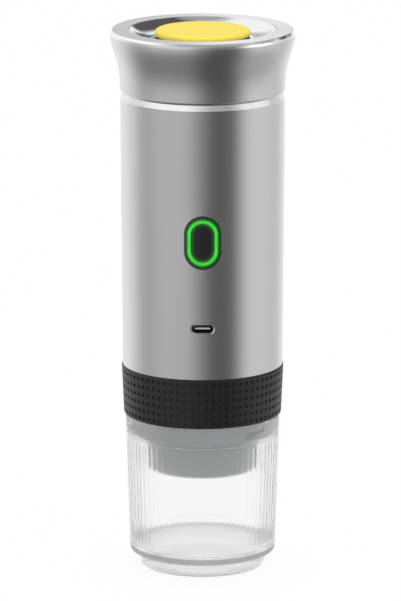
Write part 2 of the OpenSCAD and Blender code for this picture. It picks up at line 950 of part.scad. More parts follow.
module tank() {
    color([0.8, 0.81, 0.82])
        difference() {
            union() {
                rotate_extrude()
                    polygon(concat(
                        [[0, z_tank]],
                        arc([tank_r - 4, z_tank + 4], 4, -90, 0, 5),
                        [[tank_r, z_tank_top - tank_wall], [tank_rim_r, z_tank_top - tank_wall]],
                        [[tank_rim_r, z_tank_top], [tank_r - tank_wall, z_tank_top]],
                        arc([tank_r - 4, z_tank + 4], 4 - tank_wall, 0, -90, 5),
                        [[0, z_tank + tank_wall]]
                    ));
                translate([hose_x, port_y, 0])
                    rod(nipple_r, z_tank - 8, z_tank + 0.4);
            }
            translate([hose_x, port_y, 0])
                rod(port_r, z_tank - 9, z_tank + 2);
        }
}

module heater_band() {
    color([0.62, 0.45, 0.3])
        difference() {
            tube(tank_r + 1.1, tank_r + snug, z_heater, z_heater + heater_h);
            translate([-1, tank_r - 2, z_heater - 1])
                cube([2, 5, heater_h + 2]);
        }
}

module thermostat() {
    color([0.7, 0.71, 0.72])
        translate([9, 9, 0]) {
            rod(5, z_tank - 4.5, z_tank);
            for (x = [-2.5, 2.5])
                translate([x - 0.8, -0.25, z_tank - 6])
                    cube([1.6, 0.5, 2]);
        }
}

module tank_gasket() {
    color([0.75, 0.74, 0.72])
        tube(tank_rim_r, tank_r - 0.3, z_tank_top, z_collar);
}

module tank_collar() {
    color([0.55, 0.56, 0.57]) {
        rotate_extrude()
            polygon([
                [collar_in, z_collar], [collar_low_r, z_collar], [collar_low_r, z_trim - 0.3],
                [collar_r, z_trim - 0.3], [collar_r, z_collar + collar_h],
                [collar_in + 0.5, z_collar + collar_h], [collar_in, z_collar + collar_h - 0.5]
            ]);
        inner_ridges(collar_in, z_lid_ridge, head_lead, 0, 90, lid_ridge_t);
    }
}

// Sleeve and trim

module body_shell() {
    color([0.72, 0.73, 0.74])
        difference() {
            sleeve_solid(0);
            translate([0, 0, z_body - body_h * 0.01])
                cylinder(r1 = r_bot - shell_wall - body_taper * 0.01,
                    r2 = r_top - shell_wall + body_taper * 0.01, h = body_h * 1.02);
            front_bar(bezel_w + 2 * snug, bezel_h + 2 * snug, z_button, bezel_back, r_top + 2);
            front_bar(usb_w + 2 * usb_skin + 0.5, usb_h + 2 * usb_skin + 0.5, z_usb, bezel_back, r_top + 2);
        }
}

module trim_ring() {
    color([0.92, 0.92, 0.93])
        rotate_extrude()
            polygon([
                [collar_r + snug, z_trim], [r_top, z_trim], [r_top, z_trim + 0.2],
                [r_top - 1.2, z_trim_top], [collar_r + snug, z_trim_top]
            ]);
}

// Lid

module lid_gasket() {
    color([0.75, 0.74, 0.72])
        tube(collar_r - play, liner_r + play, z_collar + collar_h, z_liner_flange);
}

module lid_liner() {
    color([0.55, 0.56, 0.57])
        difference() {
            union() {
                rotate_extrude()
                    polygon([
                        [1.5, z_liner], [liner_r - 0.8, z_liner], [liner_r, z_liner + 0.8],
                        [liner_r, z_liner_flange], [liner_flange_r, z_liner_flange],
                        [liner_flange_r, z_liner_flange + liner_flange_t],
                        [liner_r - 2, z_liner_flange + liner_flange_t], [liner_r - 2, z_liner + 2],
                        [1.5, z_liner + 2]
                    ]);
                outer_ridges(liner_r, z_lid_ridge - play - lid_ridge_t + head_lead * 10 / 360, head_lead,
                    10, 60, lid_ridge_t);
            }
            at_lid_screws() {
                rod(1.1, z_liner_flange - 1, z_liner_flange + liner_flange_t + 1);
                rod(2, z_liner_flange - 1, z_liner_flange + 1.1);
            }
        }
}

module lid_screws() {
    color([0.7, 0.7, 0.7])
        at_lid_screws()
            screw(1.9, 1, z_liner_flange + 0.1, z_liner_flange + 1.1, z_liner_flange + lid_boss_h - 3);
}

module vent_valve() {
    color([0.75, 0.74, 0.72]) {
        rod(3, z_liner + 2, z_liner + 3.2);
        rod(1.4, z_liner - 0.4, z_liner + 2.1);
    }
}

function ease(t) = 3 * t * t - 2 * t * t * t;
function flare_r(z) =
    lid_low_r + (lid_rim_r - lid_low_r) * ease(pow(max(0, z - z_lid - 0.6) / (lid_h - lid_edge - 0.6), 1.45));

module lid_shell() {
    z_edge = z_top - lid_edge;
    flare = [for (i = [0 : 16]) let (z = z_lid + 0.6 + (z_edge - z_lid - 0.6) * i / 16) [flare_r(z), z]];
    color([0.78, 0.79, 0.8])
        difference() {
            union() {
                rotate_extrude()
                    polygon(concat(
                        [[lid_in, z_lid], [lid_low_r - 0.4, z_lid]],
                        flare,
                        [[lid_rim_r - 0.2, z_edge + 0.8], [lid_rim_r - 0.9, z_top], [dish_r + snug, z_top]],
                        [[dish_r + snug, z_top - 2], [dish_r - 1.1, z_top - 2], [dish_r - 1.1, z_shelf]],
                        [[lid_rim_r - 3.4, z_shelf], [lid_rim_r - 3.4, z_shelf - 2], [lid_in, z_lid + 9]]
                    ));
                intersection() {
                    at_lid_screws()
                        rod(3.2, z_liner_flange + liner_flange_t, z_liner_flange + lid_boss_h);
                    rod(lid_in + 0.5, z_lid, z_top);
                }
            }
            at_lid_screws()
                rod(1.05, z_liner_flange, z_liner_flange + lid_boss_h - 2);
        }
}

function dish_z(r) = z_dish + dish_drop * pow((r - dish_floor_r) / (dish_r - dish_floor_r), 1.8);

module lid_dish() {
    step = (dish_r - 1.1 - dish_floor_r) / 8;
    bowl = [for (i = [0 : 8]) let (r = dish_floor_r + step * i) [r, dish_z(r)]];
    under = [for (i = [7 : -1 : 0]) [bowl[i][0], bowl[i][1] - dish_t]];
    color([0.9, 0.9, 0.91])
        rotate_extrude()
            polygon(concat(
                [[hub_in, z_dish]],
                bowl,
                [[dish_r, z_top], [dish_r, z_top - 2], [dish_r - 1.1, z_top - 2]],
                under,
                [[hub_in + 2, z_dish - dish_t], [hub_in + 2, z_dish - 7.5], [hub_in, z_dish - 7.5]]
            ));
}

module vent_plug() {
    skirt_a = 32;
    color([0.97, 0.87, 0.25])
        difference() {
            union() {
                rotate_extrude()
                    polygon(concat(
                        [[0, z_pad], [plug_r - 0.6, z_pad]],
                        arc([plug_r - 0.6, z_pad + 0.6], 0.6, -90, 0, 3),
                        arc([plug_r - 0.9, z_top - 0.9], 0.9, 0, 90, 4),
                        [[0, z_top]]
                    ));
                for (a = [270, 90])
                    rotate([0, 0, a - skirt_a])
                        translate([0, 0, z_dish + 0.2])
                            rotate_extrude(angle = 2 * skirt_a)
                                translate([plug_r - 2.4, 0])
                                    square([2.1, z_pad - z_dish + 0.3]);
                rod(stem_r, z_dish - 7, z_pad + 0.5);
            }
            rod(4.5, z_dish - 8, z_pad);
        }
}

cup();
cup_gasket();
base_body();
grip_ring();
outlet_nozzle();
filter_basket();
brew_gasket();
brew_head();
shower_screen();
screen_screw();
chassis();
chassis_screws();
outlet_hose();
pump_cover();
pump_housing();
pump_screws();
drive_gear();
idler_gear();
motor_can();
motor_magnets();
motor_rotor();
motor_end();
battery_cells();
cell_links();
control_board();
board_screws();
usb_socket();
tact_switch();
leds();
button_bezel();
light_ring();
button_cap();
inlet_hose();
tank();
heater_band();
thermostat();
tank_gasket();
tank_collar();
body_shell();
trim_ring();
lid_gasket();
lid_liner();
lid_screws();
vent_valve();
lid_shell();
lid_dish();
vent_plug();
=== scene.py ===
"""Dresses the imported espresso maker: turned metal parts, finishes, studio light and camera."""

import logging
import math
from abc import ABC, abstractmethod
from dataclasses import dataclass
from enum import Enum
from typing import Any, Mapping, Sequence, Union

import bmesh
import bpy
from mathutils import Matrix, Vector


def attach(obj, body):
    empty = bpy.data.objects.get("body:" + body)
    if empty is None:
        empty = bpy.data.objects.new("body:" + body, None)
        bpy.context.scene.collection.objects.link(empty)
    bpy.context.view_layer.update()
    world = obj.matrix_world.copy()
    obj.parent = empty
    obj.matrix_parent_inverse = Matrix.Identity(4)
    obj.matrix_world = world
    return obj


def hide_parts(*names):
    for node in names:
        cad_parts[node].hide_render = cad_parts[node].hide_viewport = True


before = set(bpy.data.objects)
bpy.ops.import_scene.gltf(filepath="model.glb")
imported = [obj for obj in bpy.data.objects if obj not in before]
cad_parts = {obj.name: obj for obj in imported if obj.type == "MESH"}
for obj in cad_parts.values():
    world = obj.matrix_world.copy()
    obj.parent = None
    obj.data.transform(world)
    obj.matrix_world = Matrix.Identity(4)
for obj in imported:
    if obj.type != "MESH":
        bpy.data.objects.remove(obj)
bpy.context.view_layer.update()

LOG = logging.getLogger("espresso_maker")
MM = 0.001
WELD = 1e-4
ON_AXIS = 1e-6
WHITE = (1.0, 1.0, 1.0, 1.0)

Colour = tuple[float, float, float]
Triple = tuple[float, float, float]
Span = tuple[float, float]
Relief = tuple[float, float]  # strength, and depth in millimetres
Number = Union[float, "Term"]


class Ray(Enum):
    """The kinds of ray that the studio answers in different ways."""

    CAMERA = "Is Camera Ray"
    GLOSSY = "Is Glossy Ray"
    TRANSMISSION = "Is Transmission Ray"


# Shader building


class Term:
    """A shader value that takes part in Python arithmetic by adding Math nodes."""

    def __init__(self, sheet: "Sheet", socket: bpy.types.NodeSocket) -> None:
        """Wraps a socket of the sheet's node tree that gives one number."""
        self.sheet = sheet
        self.socket = socket

    def _math(self, operation: str, *values: Number) -> "Term":
        """Adds one Math node.

        Args:
            operation: the Math node's operation.
            values: its inputs in order.

        Returns:
            The node's result.
        """
        inputs = dict(enumerate(values))
        node = self.sheet.node("ShaderNodeMath", {"operation": operation}, inputs)
        return Term(self.sheet, node.outputs[0])

    def __add__(self, other: Number) -> "Term":
        """Sum."""
        return self._math("ADD", self, other)

    __radd__ = __add__

    def __sub__(self, other: Number) -> "Term":
        """Difference."""
        return self._math("SUBTRACT", self, other)

    def __rsub__(self, other: Number) -> "Term":
        """Difference with the number first."""
        return self._math("SUBTRACT", other, self)

    def __mul__(self, other: Number) -> "Term":
        """Product."""
        return self._math("MULTIPLY", self, other)

    __rmul__ = __mul__

    def __truediv__(self, other: Number) -> "Term":
        """Quotient."""
        return self._math("DIVIDE", self, other)

    def __rtruediv__(self, other: Number) -> "Term":
        """Quotient with the number first."""
        return self._math("DIVIDE", other, self)

    def __abs__(self) -> "Term":
        """Size without sign."""
        return self._math("ABSOLUTE", self)

    def fraction(self) -> "Term":
        """The part after the decimal point."""
        return self._math("FRACT", self)

    def angle_to(self, other: Number) -> "Term":
        """Angle in radians whose tangent is this value over the other."""
        return self._math("ARCTAN2", self, other)

    def at_least(self, other: Number) -> "Term":
        """The larger of the two."""
        return self._math("MAXIMUM", self, other)

    def at_most(self, other: Number) -> "Term":
        """The smaller of the two."""
        return self._math("MINIMUM", self, other)

    def hypot(self, other: "Term") -> "Term":
        """Length of the vector with these two parts."""
        return self._math("SQRT", self * self + other * other)

    def rise(self, low: float, high: float) -> "Term":
        """Eases from 0 at the low value to 1 at the high one, which may be the smaller."""
        share = ((self - low) / (high - low)).at_least(0.0).at_most(1.0)
        return share * share * (3.0 - 2.0 * share)

    def blend(self, first: Number, second: Number) -> "Term":
        """Goes from the first value to the second as this share goes from 0 to 1."""
        return first * (1.0 - self) + second * self


class Sheet:
    """A node tree with short ways to add what the finishes use."""

    def __init__(self, tree: bpy.types.NodeTree) -> None:
        """Empties the tree that it then fills."""
        self.tree = tree
        tree.nodes.clear()

    def node(
        self,
        kind: str,
        settings: Mapping[str, Any] | None = None,
        sockets: Mapping[str | int, Any] | None = None,
    ) -> bpy.types.Node:
        """Adds one node.

        Args:
            kind: the node's type.
            settings: attributes that are set first.
            sockets: values or links for its inputs, by name or number.

        Returns:
            The node.
        """
        node = self.tree.nodes.new(kind)
        for name, value in (settings or {}).items():
            setattr(node, name, value)
        for key, value in (sockets or {}).items():
            if isinstance(value, Term):
                value = value.socket
            if isinstance(value, bpy.types.NodeSocket):
                self.tree.links.new(value, node.inputs[key])
            else:
                node.inputs[key].default_value = value
        return node

    def place(self) -> bpy.types.NodeSocket:
        """Position on the object in millimetres."""
        metres = self.node("ShaderNodeTexCoord").outputs["Object"]
        return self.stretch(metres, (1.0 / MM, 1.0 / MM, 1.0 / MM))

    def split(self, vector: bpy.types.NodeSocket) -> tuple[Term, Term, Term]:
        """The x, y and z of a vector."""
        node = self.node("ShaderNodeSeparateXYZ", None, {0: vector})
        return tuple(Term(self, socket) for socket in node.outputs)

    def stretch(self, vector: bpy.types.NodeSocket, by: Triple) -> bpy.types.NodeSocket:
        """Scales a vector by one factor for each axis."""
        settings = {"operation": "MULTIPLY"}
        return self.node("ShaderNodeVectorMath", settings, {0: vector, 1: by}).outputs[0]

    def vector(self, x: Number, y: Number, z: Number) -> bpy.types.NodeSocket:
        """Joins three numbers to a vector."""
        return self.node("ShaderNodeCombineXYZ", None, {0: x, 1: y, 2: z}).outputs[0]

    def noise(self, vector: bpy.types.NodeSocket, scale: float, detail: float = 2.0) -> Term:
        """Smooth noise from 0 to 1, with a scale in cells per unit of the vector."""
        sockets = {"Vector": vector, "Scale": scale, "Detail": detail, "Roughness": 0.6}
        return Term(self, self.node("ShaderNodeTexNoise", None, sockets).outputs[0])

    def mix(self, share: Number, first: Any, second: Any) -> bpy.types.NodeSocket:
        """Blends two colours.

        Args:
            share: 0 for the first, 1 for the second.
            first: a colour or a colour socket.
            second: a colour or a colour socket.

        Returns:
            The blend.
        """
        ends = [(*c, 1.0) if isinstance(c, tuple) else c for c in (first, second)]
        sockets = {0: share, 6: ends[0], 7: ends[1]}
        return self.node("ShaderNodeMix", {"data_type": "RGBA"}, sockets).outputs[2]

    def bump(self, height: Term, strength: float, depth: float) -> bpy.types.NodeSocket:
        """Normal of a relief from 0 to 1, with its depth in millimetres."""
        sockets = {"Strength": strength, "Distance": depth * MM, "Height": height}
        return self.node("ShaderNodeBump", None, sockets).outputs[0]

    def seen_by(self, *rays: Ray) -> Term:
        """1 for the rays that are named, else 0.

        Args:
            rays: the kinds of ray.

        Returns:
            The share.
        """
        path = self.node("ShaderNodeLightPath")
        share = Term(self, path.outputs[rays[0].value])
        for ray in rays[1:]:
            share = share.at_least(Term(self, path.outputs[ray.value]))
        return share


def shaded(colour: Colour, by: float) -> Colour:
    """A colour made darker or lighter by a factor."""
    return tuple(min(1.0, by * channel) for channel in colour)


@dataclass(frozen=True)
class SlotLine:
    """A slot-shaped line on the front of the object, in millimetres."""

    centre_z: float
    width: float
    height: float

    def off(self, sheet: Sheet) -> Term:
        """How far a point lies outside the line, below 0 inside it.

        Args:
            sheet: the sheet to work in.

        Returns:
            The distance in millimetres.
        """
        x, _, z = sheet.split(sheet.place())
        radius = min(self.width, self.height) / 2
        side = (abs(x) - (self.width / 2 - radius)).at_least(0.0)
        up = (abs(z - self.centre_z) - (self.height / 2 - radius)).at_least(0.0)
        return side.hypot(up) - radius


RING_LINE = SlotLine(centre_z=152.2, width=11.75, height=18.75)
SOCKET_LINE = SlotLine(centre_z=113.9, width=9.44, height=3.66)
TONGUE_LINE = SlotLine(centre_z=113.9, width=7.0, height=0.9)


# Finishes: lengths are in millimetres, and noise is in cells per millimetre


class Finish(ABC):
    """A surface finish that makes one material."""

    name: str

    @abstractmethod
    def dress(self, sheet: Sheet) -> dict[str, Any]:
        """Values and links of the Principled shader's sockets.

        Args:
            sheet: the material's sheet.

        Returns:
            Socket names with their values or links.
        """

    def material(self) -> bpy.types.Material:
        """The finish's material, made at the first call.

        Returns:
            The material.
        """
        made = bpy.data.materials.get(self.name)
        if made is None:
            made = bpy.data.materials.new(self.name)
            made.use_nodes = True
            sheet = Sheet(made.node_tree)
            shader = sheet.node("ShaderNodeBsdfPrincipled", None, self.dress(sheet))
            sheet.node("ShaderNodeOutputMaterial", None, {"Surface": shader.outputs[0]})
        return made


@dataclass(frozen=True)
class SatinMetal(Finish):
    """Metal turned to a satin, with fine lines that run round the vertical axis."""

    name: str
    colour: Colour = (0.80, 0.80, 0.805)
    dull: float = 0.955
    smudge_share: float = 0.6
    roughness: float = 0.265
    line_roughness: float = 0.05
    smudge_roughness: float = 0.02
    stretch_along: float = 0.7
    quarter_turn: float = 0.25
    lines_per_mm: float = 5.0
    waves_per_mm: float = 0.025
    smudges_per_mm: float = 0.045
    relief: Relief = (0.05, 0.01)

    def dress(self, sheet: Sheet) -> dict[str, Any]:
        """Turned lines and smudges.

        Args:
            sheet: the material's sheet.

        Returns:
            Socket names with their values or links.
        """
        place = sheet.place()
        turned = (self.waves_per_mm, self.waves_per_mm, self.lines_per_mm)
        lines = sheet.noise(sheet.stretch(place, turned), 1.0, detail=3.0)
        smudge = sheet.noise(place, self.smudges_per_mm, detail=4.0)
        bright = self.smudge_share * smudge + (1.0 - self.smudge_share) * lines
        wear = self.line_roughness * lines + self.smudge_roughness * smudge
        return {
            "Base Color": sheet.mix(bright, shaded(self.colour, self.dull), self.colour),
            "Metallic": 1.0,
            "Roughness": self.roughness + wear,
            "Anisotropic": self.stretch_along,
            "Anisotropic Rotation": self.quarter_turn,
            "Normal": sheet.bump(lines, *self.relief),
        }


@dataclass(frozen=True)
class SleeveMetal(SatinMetal):
    """Satin metal with a bright machined edge at both ends of the charging slot."""

    name: str = "satin_sleeve_metal"
    front_y: Span = (0.0, -10.0)
    ends_x: Span = (3.2, 4.2)
    bright: Span = (0.7, 0.21)
    bright_roughness: float = 0.15
    slope: Span = (0.0, 0.7)
    slope_relief: Relief = (1.0, 0.35)

    def dress(self, sheet: Sheet) -> dict[str, Any]:
        """Adds the slot's edge to the satin.

        Args:
            sheet: the material's sheet.

        Returns:
            Socket names with their values or links.
        """
        sockets = super().dress(sheet)
        x, y, _ = sheet.split(sheet.place())
        off = SOCKET_LINE.off(sheet)
        ends = y.rise(*self.front_y) * abs(x).rise(*self.ends_x)
        bright = off.rise(*self.bright) * ends
        sockets["Roughness"] = bright.blend(sockets["Roughness"], self.bright_roughness)
        slope = ends.blend(1.0, off.rise(*self.slope))
        sockets["Normal"] = sheet.bump(slope, *self.slope_relief)
        return sockets


@dataclass(frozen=True)
class LidMetal(SatinMetal):
    """Satin metal with a polished chamfer and a ring brushed round the top face, its left side in
    painted shade.
    """

    name: str = "lid_metal"
    chamfer_z: Span = (237.9, 237.95)
    top_z: Span = (239.87, 239.9)
    polish: float = 0.1
    ring: Colour = (0.97, 0.97, 0.975)
    # Painted shade: the top ring's colour darkens from x = 12 mm to x = -24 mm, towards its left
    # side.
    ring_painted_shade: Colour = (0.68, 0.68, 0.685)
    ring_painted_shade_x: Span = (12.0, -24.0)
    ring_roughness: Span = (0.2, 0.3)
    ring_waves: float = 0.03

    def dress(self, sheet: Sheet) -> dict[str, Any]:
        """Adds the chamfer and the brushed ring, with the painted shade on its left, to the satin.

        Args:
            sheet: the material's sheet.

        Returns:
            Socket names with their values or links.
        """
        sockets = super().dress(sheet)
        x, y, z = sheet.split(sheet.place())
        chamfer = z.rise(*self.chamfer_z)
        top = z.rise(*self.top_z)
        brushed = (x.hypot(y) * self.lines_per_mm, x * self.ring_waves, y * self.ring_waves)
        rings = sheet.noise(sheet.vector(*brushed), 1.0, detail=3.0)
        side = chamfer.blend(sockets["Roughness"], self.polish)
        sockets["Roughness"] = top.blend(side, rings.blend(*self.ring_roughness))
        side_colour = sheet.mix(chamfer, sockets["Base Color"], self.ring)
        # Painted shade: the brushed ring's colour darkens towards its left side.
        ring = sheet.mix(x.rise(*self.ring_painted_shade_x), self.ring, self.ring_painted_shade)
        sockets["Base Color"] = sheet.mix(top, side_colour, ring)
        return sockets


@dataclass(frozen=True)
class PolishedMetal(Finish):
    """Bright metal with faint polishing marks."""

    name: str = "polished_bright_metal"
    colour: Colour = (0.90, 0.90, 0.905)
    dull: float = 0.96
    roughness: float = 0.05
    haze_roughness: float = 0.04
    mark_roughness: float = 0.015
    marks_per_mm: float = 2.5
    haze_per_mm: float = 0.07
    relief: Relief = (0.02, 0.005)

    def dress(self, sheet: Sheet) -> dict[str, Any]:
        """Polishing marks and haze.

        Args:
            sheet: the material's sheet.

        Returns:
            Socket names with their values or links.
        """
        place = sheet.place()
        x, y, z = sheet.split(place)
        polished = (x.hypot(y) * self.marks_per_mm, z * self.marks_per_mm, 0.0)
        marks = sheet.noise(sheet.vector(*polished), 1.0)
        haze = sheet.noise(place, self.haze_per_mm, detail=4.0)
        wear = self.haze_roughness * haze + self.mark_roughness * marks
        return {
            "Base Color": sheet.mix(haze, shaded(self.colour, self.dull), self.colour),
            "Metallic": 1.0,
            "Roughness": self.roughness + wear,
            "Normal": sheet.bump(marks, *self.relief),
        }


@dataclass(frozen=True)
class DishMetal(PolishedMetal):
    """Bright metal with painted shade under the plug: a dull dark zone that shows through the
    plug's gaps.
    """

    name: str = "polished_dish_metal"
    # Painted shade: a dark, dull, non-metallic colour on the dish under the plug, inside seat_r.
    painted_shade_under_plug: Colour = (0.02, 0.02, 0.021)
    seat_r: Span = (20.9, 20.8)
    painted_shade_roughness: float = 0.6

    def dress(self, sheet: Sheet) -> dict[str, Any]:
        """Adds the painted shade under the plug to the polish.

        Args:
            sheet: the material's sheet.

        Returns:
            Socket names with their values or links.
        """
        sockets = super().dress(sheet)
        x, y, _ = sheet.split(sheet.place())
        # Painted shade under the plug: dark, dull and not metallic inside seat_r.
        painted_shade_under_plug = x.hypot(y).rise(*self.seat_r)
        sockets["Base Color"] = sheet.mix(painted_shade_under_plug, sockets["Base Color"], self.painted_shade_under_plug)
        sockets["Metallic"] = 1.0 - painted_shade_under_plug
        sockets["Roughness"] = painted_shade_under_plug.blend(sockets["Roughness"], self.painted_shade_roughness)
        return sockets


@dataclass(frozen=True)
class ClearPlastic(Finish):
    """Clear moulded plastic of the cup, with a faint milkiness, parts that differ a little, and
    painted shade at the floor's rim and the foot's bottom.

    A body below 1 lets that much less of the light bend, and the rest pass straight through.
    """

    name: str = "clear_moulded_plastic"
    colour: Colour = (0.978, 0.979, 0.982)
    flow_dull: float = 0.996
    flow_per_mm: float = 0.03
    cloud_per_mm: float = 0.09
    ior: float = 1.22
    clarity: float = 0.985
    body: float = 0.9
    haze: Span = (0.10, 0.14)
    relief: Relief = (0.04, 0.2)

    foot_z: Span = (6.1, 5.7)
    foot_colour: Colour = (0.84, 0.843, 0.847)
    foot_clear: float = 0.7
    # Painted contact shadow: a dark band at the very bottom of the foot, where it meets the table.
    contact_shadow_z: Span = (0.9, 0.5)
    contact_shadow_colour: Colour = (0.10, 0.101, 0.102)

    slab_z: Span = (9.6, 8.8)
    slab_r: Span = (26.0, 27.5)
    # Painted shade: the floor's thick outer rim is tinted dark.
    slab_shade_colour: Colour = (0.28, 0.282, 0.285)
    low_z: Span = (13.4, 9.4)
    low_haze: float = 0.16
    inside_z: Span = (13.4, 11.4)
    inside_r: Span = (31.2, 30.8)
    floor_body: float = 0.55
    fillet_z: Span = (9.45, 9.7)
    fillet_body: float = 0.25

    band_z: Span = (58.0, 60.0)
    band_r: Span = (33.4, 33.0)
    band_haze: float = 0.30
    ridge_z: Span = (62.5, 62.7)
    ridge_r: Span = (32.4, 32.3)
    ridge_body: float = 0.6

    def dress(self, sheet: Sheet) -> dict[str, Any]:
        """Sets the cup's wall, foot, floor and mouth apart.

        Args:
            sheet: the material's sheet.

        Returns:
            Socket names with their values or links.
        """
        place = sheet.place()
        x, y, z = sheet.split(place)
        radius = x.hypot(y)
        flow = sheet.noise(place, self.flow_per_mm)
        cloud = sheet.noise(place, self.cloud_per_mm, detail=3.0)

        # Foot: the ring below the floor, with a painted contact shadow on the line where it meets
        # the table
        foot = z.rise(*self.foot_z)
        foot_colour = sheet.mix(z.rise(*self.contact_shadow_z), self.foot_colour, self.contact_shadow_colour)

        # Floor: its thick rim in painted shade, the low part of the wall, its upper face and the
        # fillet above
        slab = z.rise(*self.slab_z) * radius.rise(*self.slab_r)
        low = z.rise(*self.low_z) * (1.0 - self.foot_clear * foot)
        inside = z.rise(*self.inside_z) * radius.rise(*self.inside_r)
        floor_body = z.rise(*self.fillet_z).blend(self.floor_body, self.fillet_body)

        # Mouth: the thread ridge and the smooth band round it
        ridge = radius.rise(*self.ridge_r) * z.rise(*self.ridge_z)
        band = z.rise(*self.band_z) * radius.rise(*self.band_r) * (1.0 - ridge)

        flowing = sheet.mix(flow, shaded(self.colour, self.flow_dull), self.colour)
        # Painted shade: the floor's thick rim takes the dark rim colour.
        wall = sheet.mix(slab, flowing, self.slab_shade_colour)
        wall_body = ridge.blend(slab.blend(self.body, 1.0), self.ridge_body)
        more_haze = self.low_haze * low + self.band_haze * band
        return {
            "Base Color": sheet.mix(foot, wall, foot_colour),
            "Roughness": cloud.blend(*self.haze) + more_haze,
            "IOR": self.ior,
            "Transmission Weight": self.clarity,
            "Alpha": inside.blend(wall_body, floor_body),
            "Normal": sheet.bump(flow, *self.relief),
        }


@dataclass(frozen=True)
class Moulded(Finish):
    """A moulded piece with a fine grain and a slight change of shade."""

    name: str
    colour: Colour
    roughness: float = 0.5
    grain_per_mm: float = 4.0
    grain_depth: float = 0.02
    shade: float = 0.08
    coat: float = 0.0
    sheen: float = 0.0
    grain_roughness: float = 0.06
    grain_strength: float = 0.3
    cloud_per_mm: float = 0.06
    cloud_roughness: float = 0.04
    cloud_share: float = 0.6

    def dress(self, sheet: Sheet) -> dict[str, Any]:
        """Grain and clouds of a slightly other shade.

        Args:
            sheet: the material's sheet.

        Returns:
            Socket names with their values or links.
        """
        place = sheet.place()
        grain = sheet.noise(place, self.grain_per_mm)
        cloud = sheet.noise(place, self.cloud_per_mm, detail=4.0)
        light = self.cloud_share * cloud + (1.0 - self.cloud_share) * grain
        ends = [shaded(self.colour, 1.0 + side * self.shade) for side in (-1, 1)]
        wear = self.grain_roughness * (grain - 0.5) + self.cloud_roughness * (cloud - 0.5)
        return {
            "Base Color": sheet.mix(light, *ends),
            "Roughness": self.roughness + wear,
            "Coat Weight": self.coat,
            "Sheen Weight": self.sheen,
            "Normal": sheet.bump(grain, self.grain_strength, self.grain_depth),
        }


@dataclass(frozen=True)
class PaintedGlowBlack(Moulded):
    """Gloss black with painted light: emission near the lit ring beside it stands in for the
    ring's light on it.
    """

    # Painted light: the green that the black emits near the ring, and how far from the ring it
    # fades.
    painted_glow: Colour = (0.002, 0.09, 0.004)
    reach: Span = (2.5, 0.9)
    shine: float = 0.3

    def dress(self, sheet: Sheet) -> dict[str, Any]:
        """Adds the painted light from the ring to the black.

        Args:
            sheet: the material's sheet.

        Returns:
            Socket names with their values or links.
        """
        sockets = super().dress(sheet)
        # Painted light: the black emits green near the ring, as if lit by it.
        lit = abs(RING_LINE.off(sheet)).rise(*self.reach)
        sockets["Emission Color"] = sheet.mix(lit, (0.0, 0.0, 0.0), self.painted_glow)
        sockets["Emission Strength"] = 1.0
        sockets["Specular IOR Level"] = self.shine
        return sockets


@dataclass(frozen=True)
class LitRing(Finish):
    """Translucent ring lit from behind by lamps above and below its middle."""

    name: str = "lit_green_ring"
    unlit: Colour = (0.01, 0.06, 0.01)
    unlit_pale: Colour = (0.012, 0.08, 0.012)
    edge: Colour = (0.003, 0.12, 0.004)
    colour: Colour = (0.035, 0.58, 0.035)
    hot: Colour = (0.05, 0.66, 0.05)
    lamp_z: float = 4.0
    lamp_reach: Span = (4.5, 0.0)
    lamp_share: float = 0.8
    core: Span = (1.0, 0.4)
    milk_per_mm: float = 0.9
    roughness: Span = (0.3, 0.4)
    shine: float = 0.3

    def dress(self, sheet: Sheet) -> dict[str, Any]:
        """Light that is hottest over the lamps and fades at the ring's edges.

        Args:
            sheet: the material's sheet.

        Returns:
            Socket names with their values or links.
        """
        place = sheet.place()
        _, _, z = sheet.split(place)
        lamp = abs(abs(z - RING_LINE.centre_z) - self.lamp_z).rise(*self.lamp_reach)
        milk = sheet.noise(place, self.milk_per_mm)
        core = abs(RING_LINE.off(sheet)).rise(*self.core)
        heat = self.lamp_share * lamp + (1.0 - self.lamp_share) * milk
        light = sheet.mix(heat, self.colour, self.hot)
        return {
            "Base Color": sheet.mix(milk, self.unlit, self.unlit_pale),
            "Roughness": milk.blend(*self.roughness),
            "Specular IOR Level": self.shine,
            "Emission Color": sheet.mix(core, self.edge, light),
            "Emission Strength": 1.0,
        }


@dataclass(frozen=True)
class SocketDark(Moulded):
    """Dark socket with a paler tongue."""

    tongue: Colour = (0.50, 0.50, 0.505)
    tongue_edge: Span = (0.05, -0.05)

    def dress(self, sheet: Sheet) -> dict[str, Any]:
        """Adds the tongue to the dark.

        Args:
            sheet: the material's sheet.

        Returns:
            Socket names with their values or links.
        """
        sockets = super().dress(sheet)
        inside = TONGUE_LINE.off(sheet).rise(*self.tongue_edge)
        sockets["Base Color"] = sheet.mix(inside, sockets["Base Color"], self.tongue)
        return sockets


@dataclass(frozen=True)
class PlainMetal(Finish):
    """Bare metal of the inner pieces, with a drawn or rolled grain."""

    name: str
    colour: Colour
    roughness: float = 0.23
    grain_per_mm: Triple = (0.3, 0.3, 3.0)
    grain_roughness: float = 0.08
    cloud_per_mm: float = 0.08
    cloud_roughness: float = 0.05
    cloud_share: float = 0.7
    stain: float = 0.12
    relief: Relief = (0.1, 0.01)

    def dress(self, sheet: Sheet) -> dict[str, Any]:
        """Grain and stains.

        Args:
            sheet: the material's sheet.

        Returns:
            Socket names with their values or links.
        """
        place = sheet.place()
        grain = sheet.noise(sheet.stretch(place, self.grain_per_mm), 1.0)
        cloud = sheet.noise(place, self.cloud_per_mm, detail=4.0)
        clean = self.cloud_share * cloud + (1.0 - self.cloud_share) * grain
        wear = self.grain_roughness * grain + self.cloud_roughness * cloud
        return {
            "Base Color": sheet.mix(clean, shaded(self.colour, 1.0 - self.stain), self.colour),
            "Metallic": 1.0,
            "Roughness": self.roughness + wear,
            "Normal": sheet.bump(grain, *self.relief),
        }


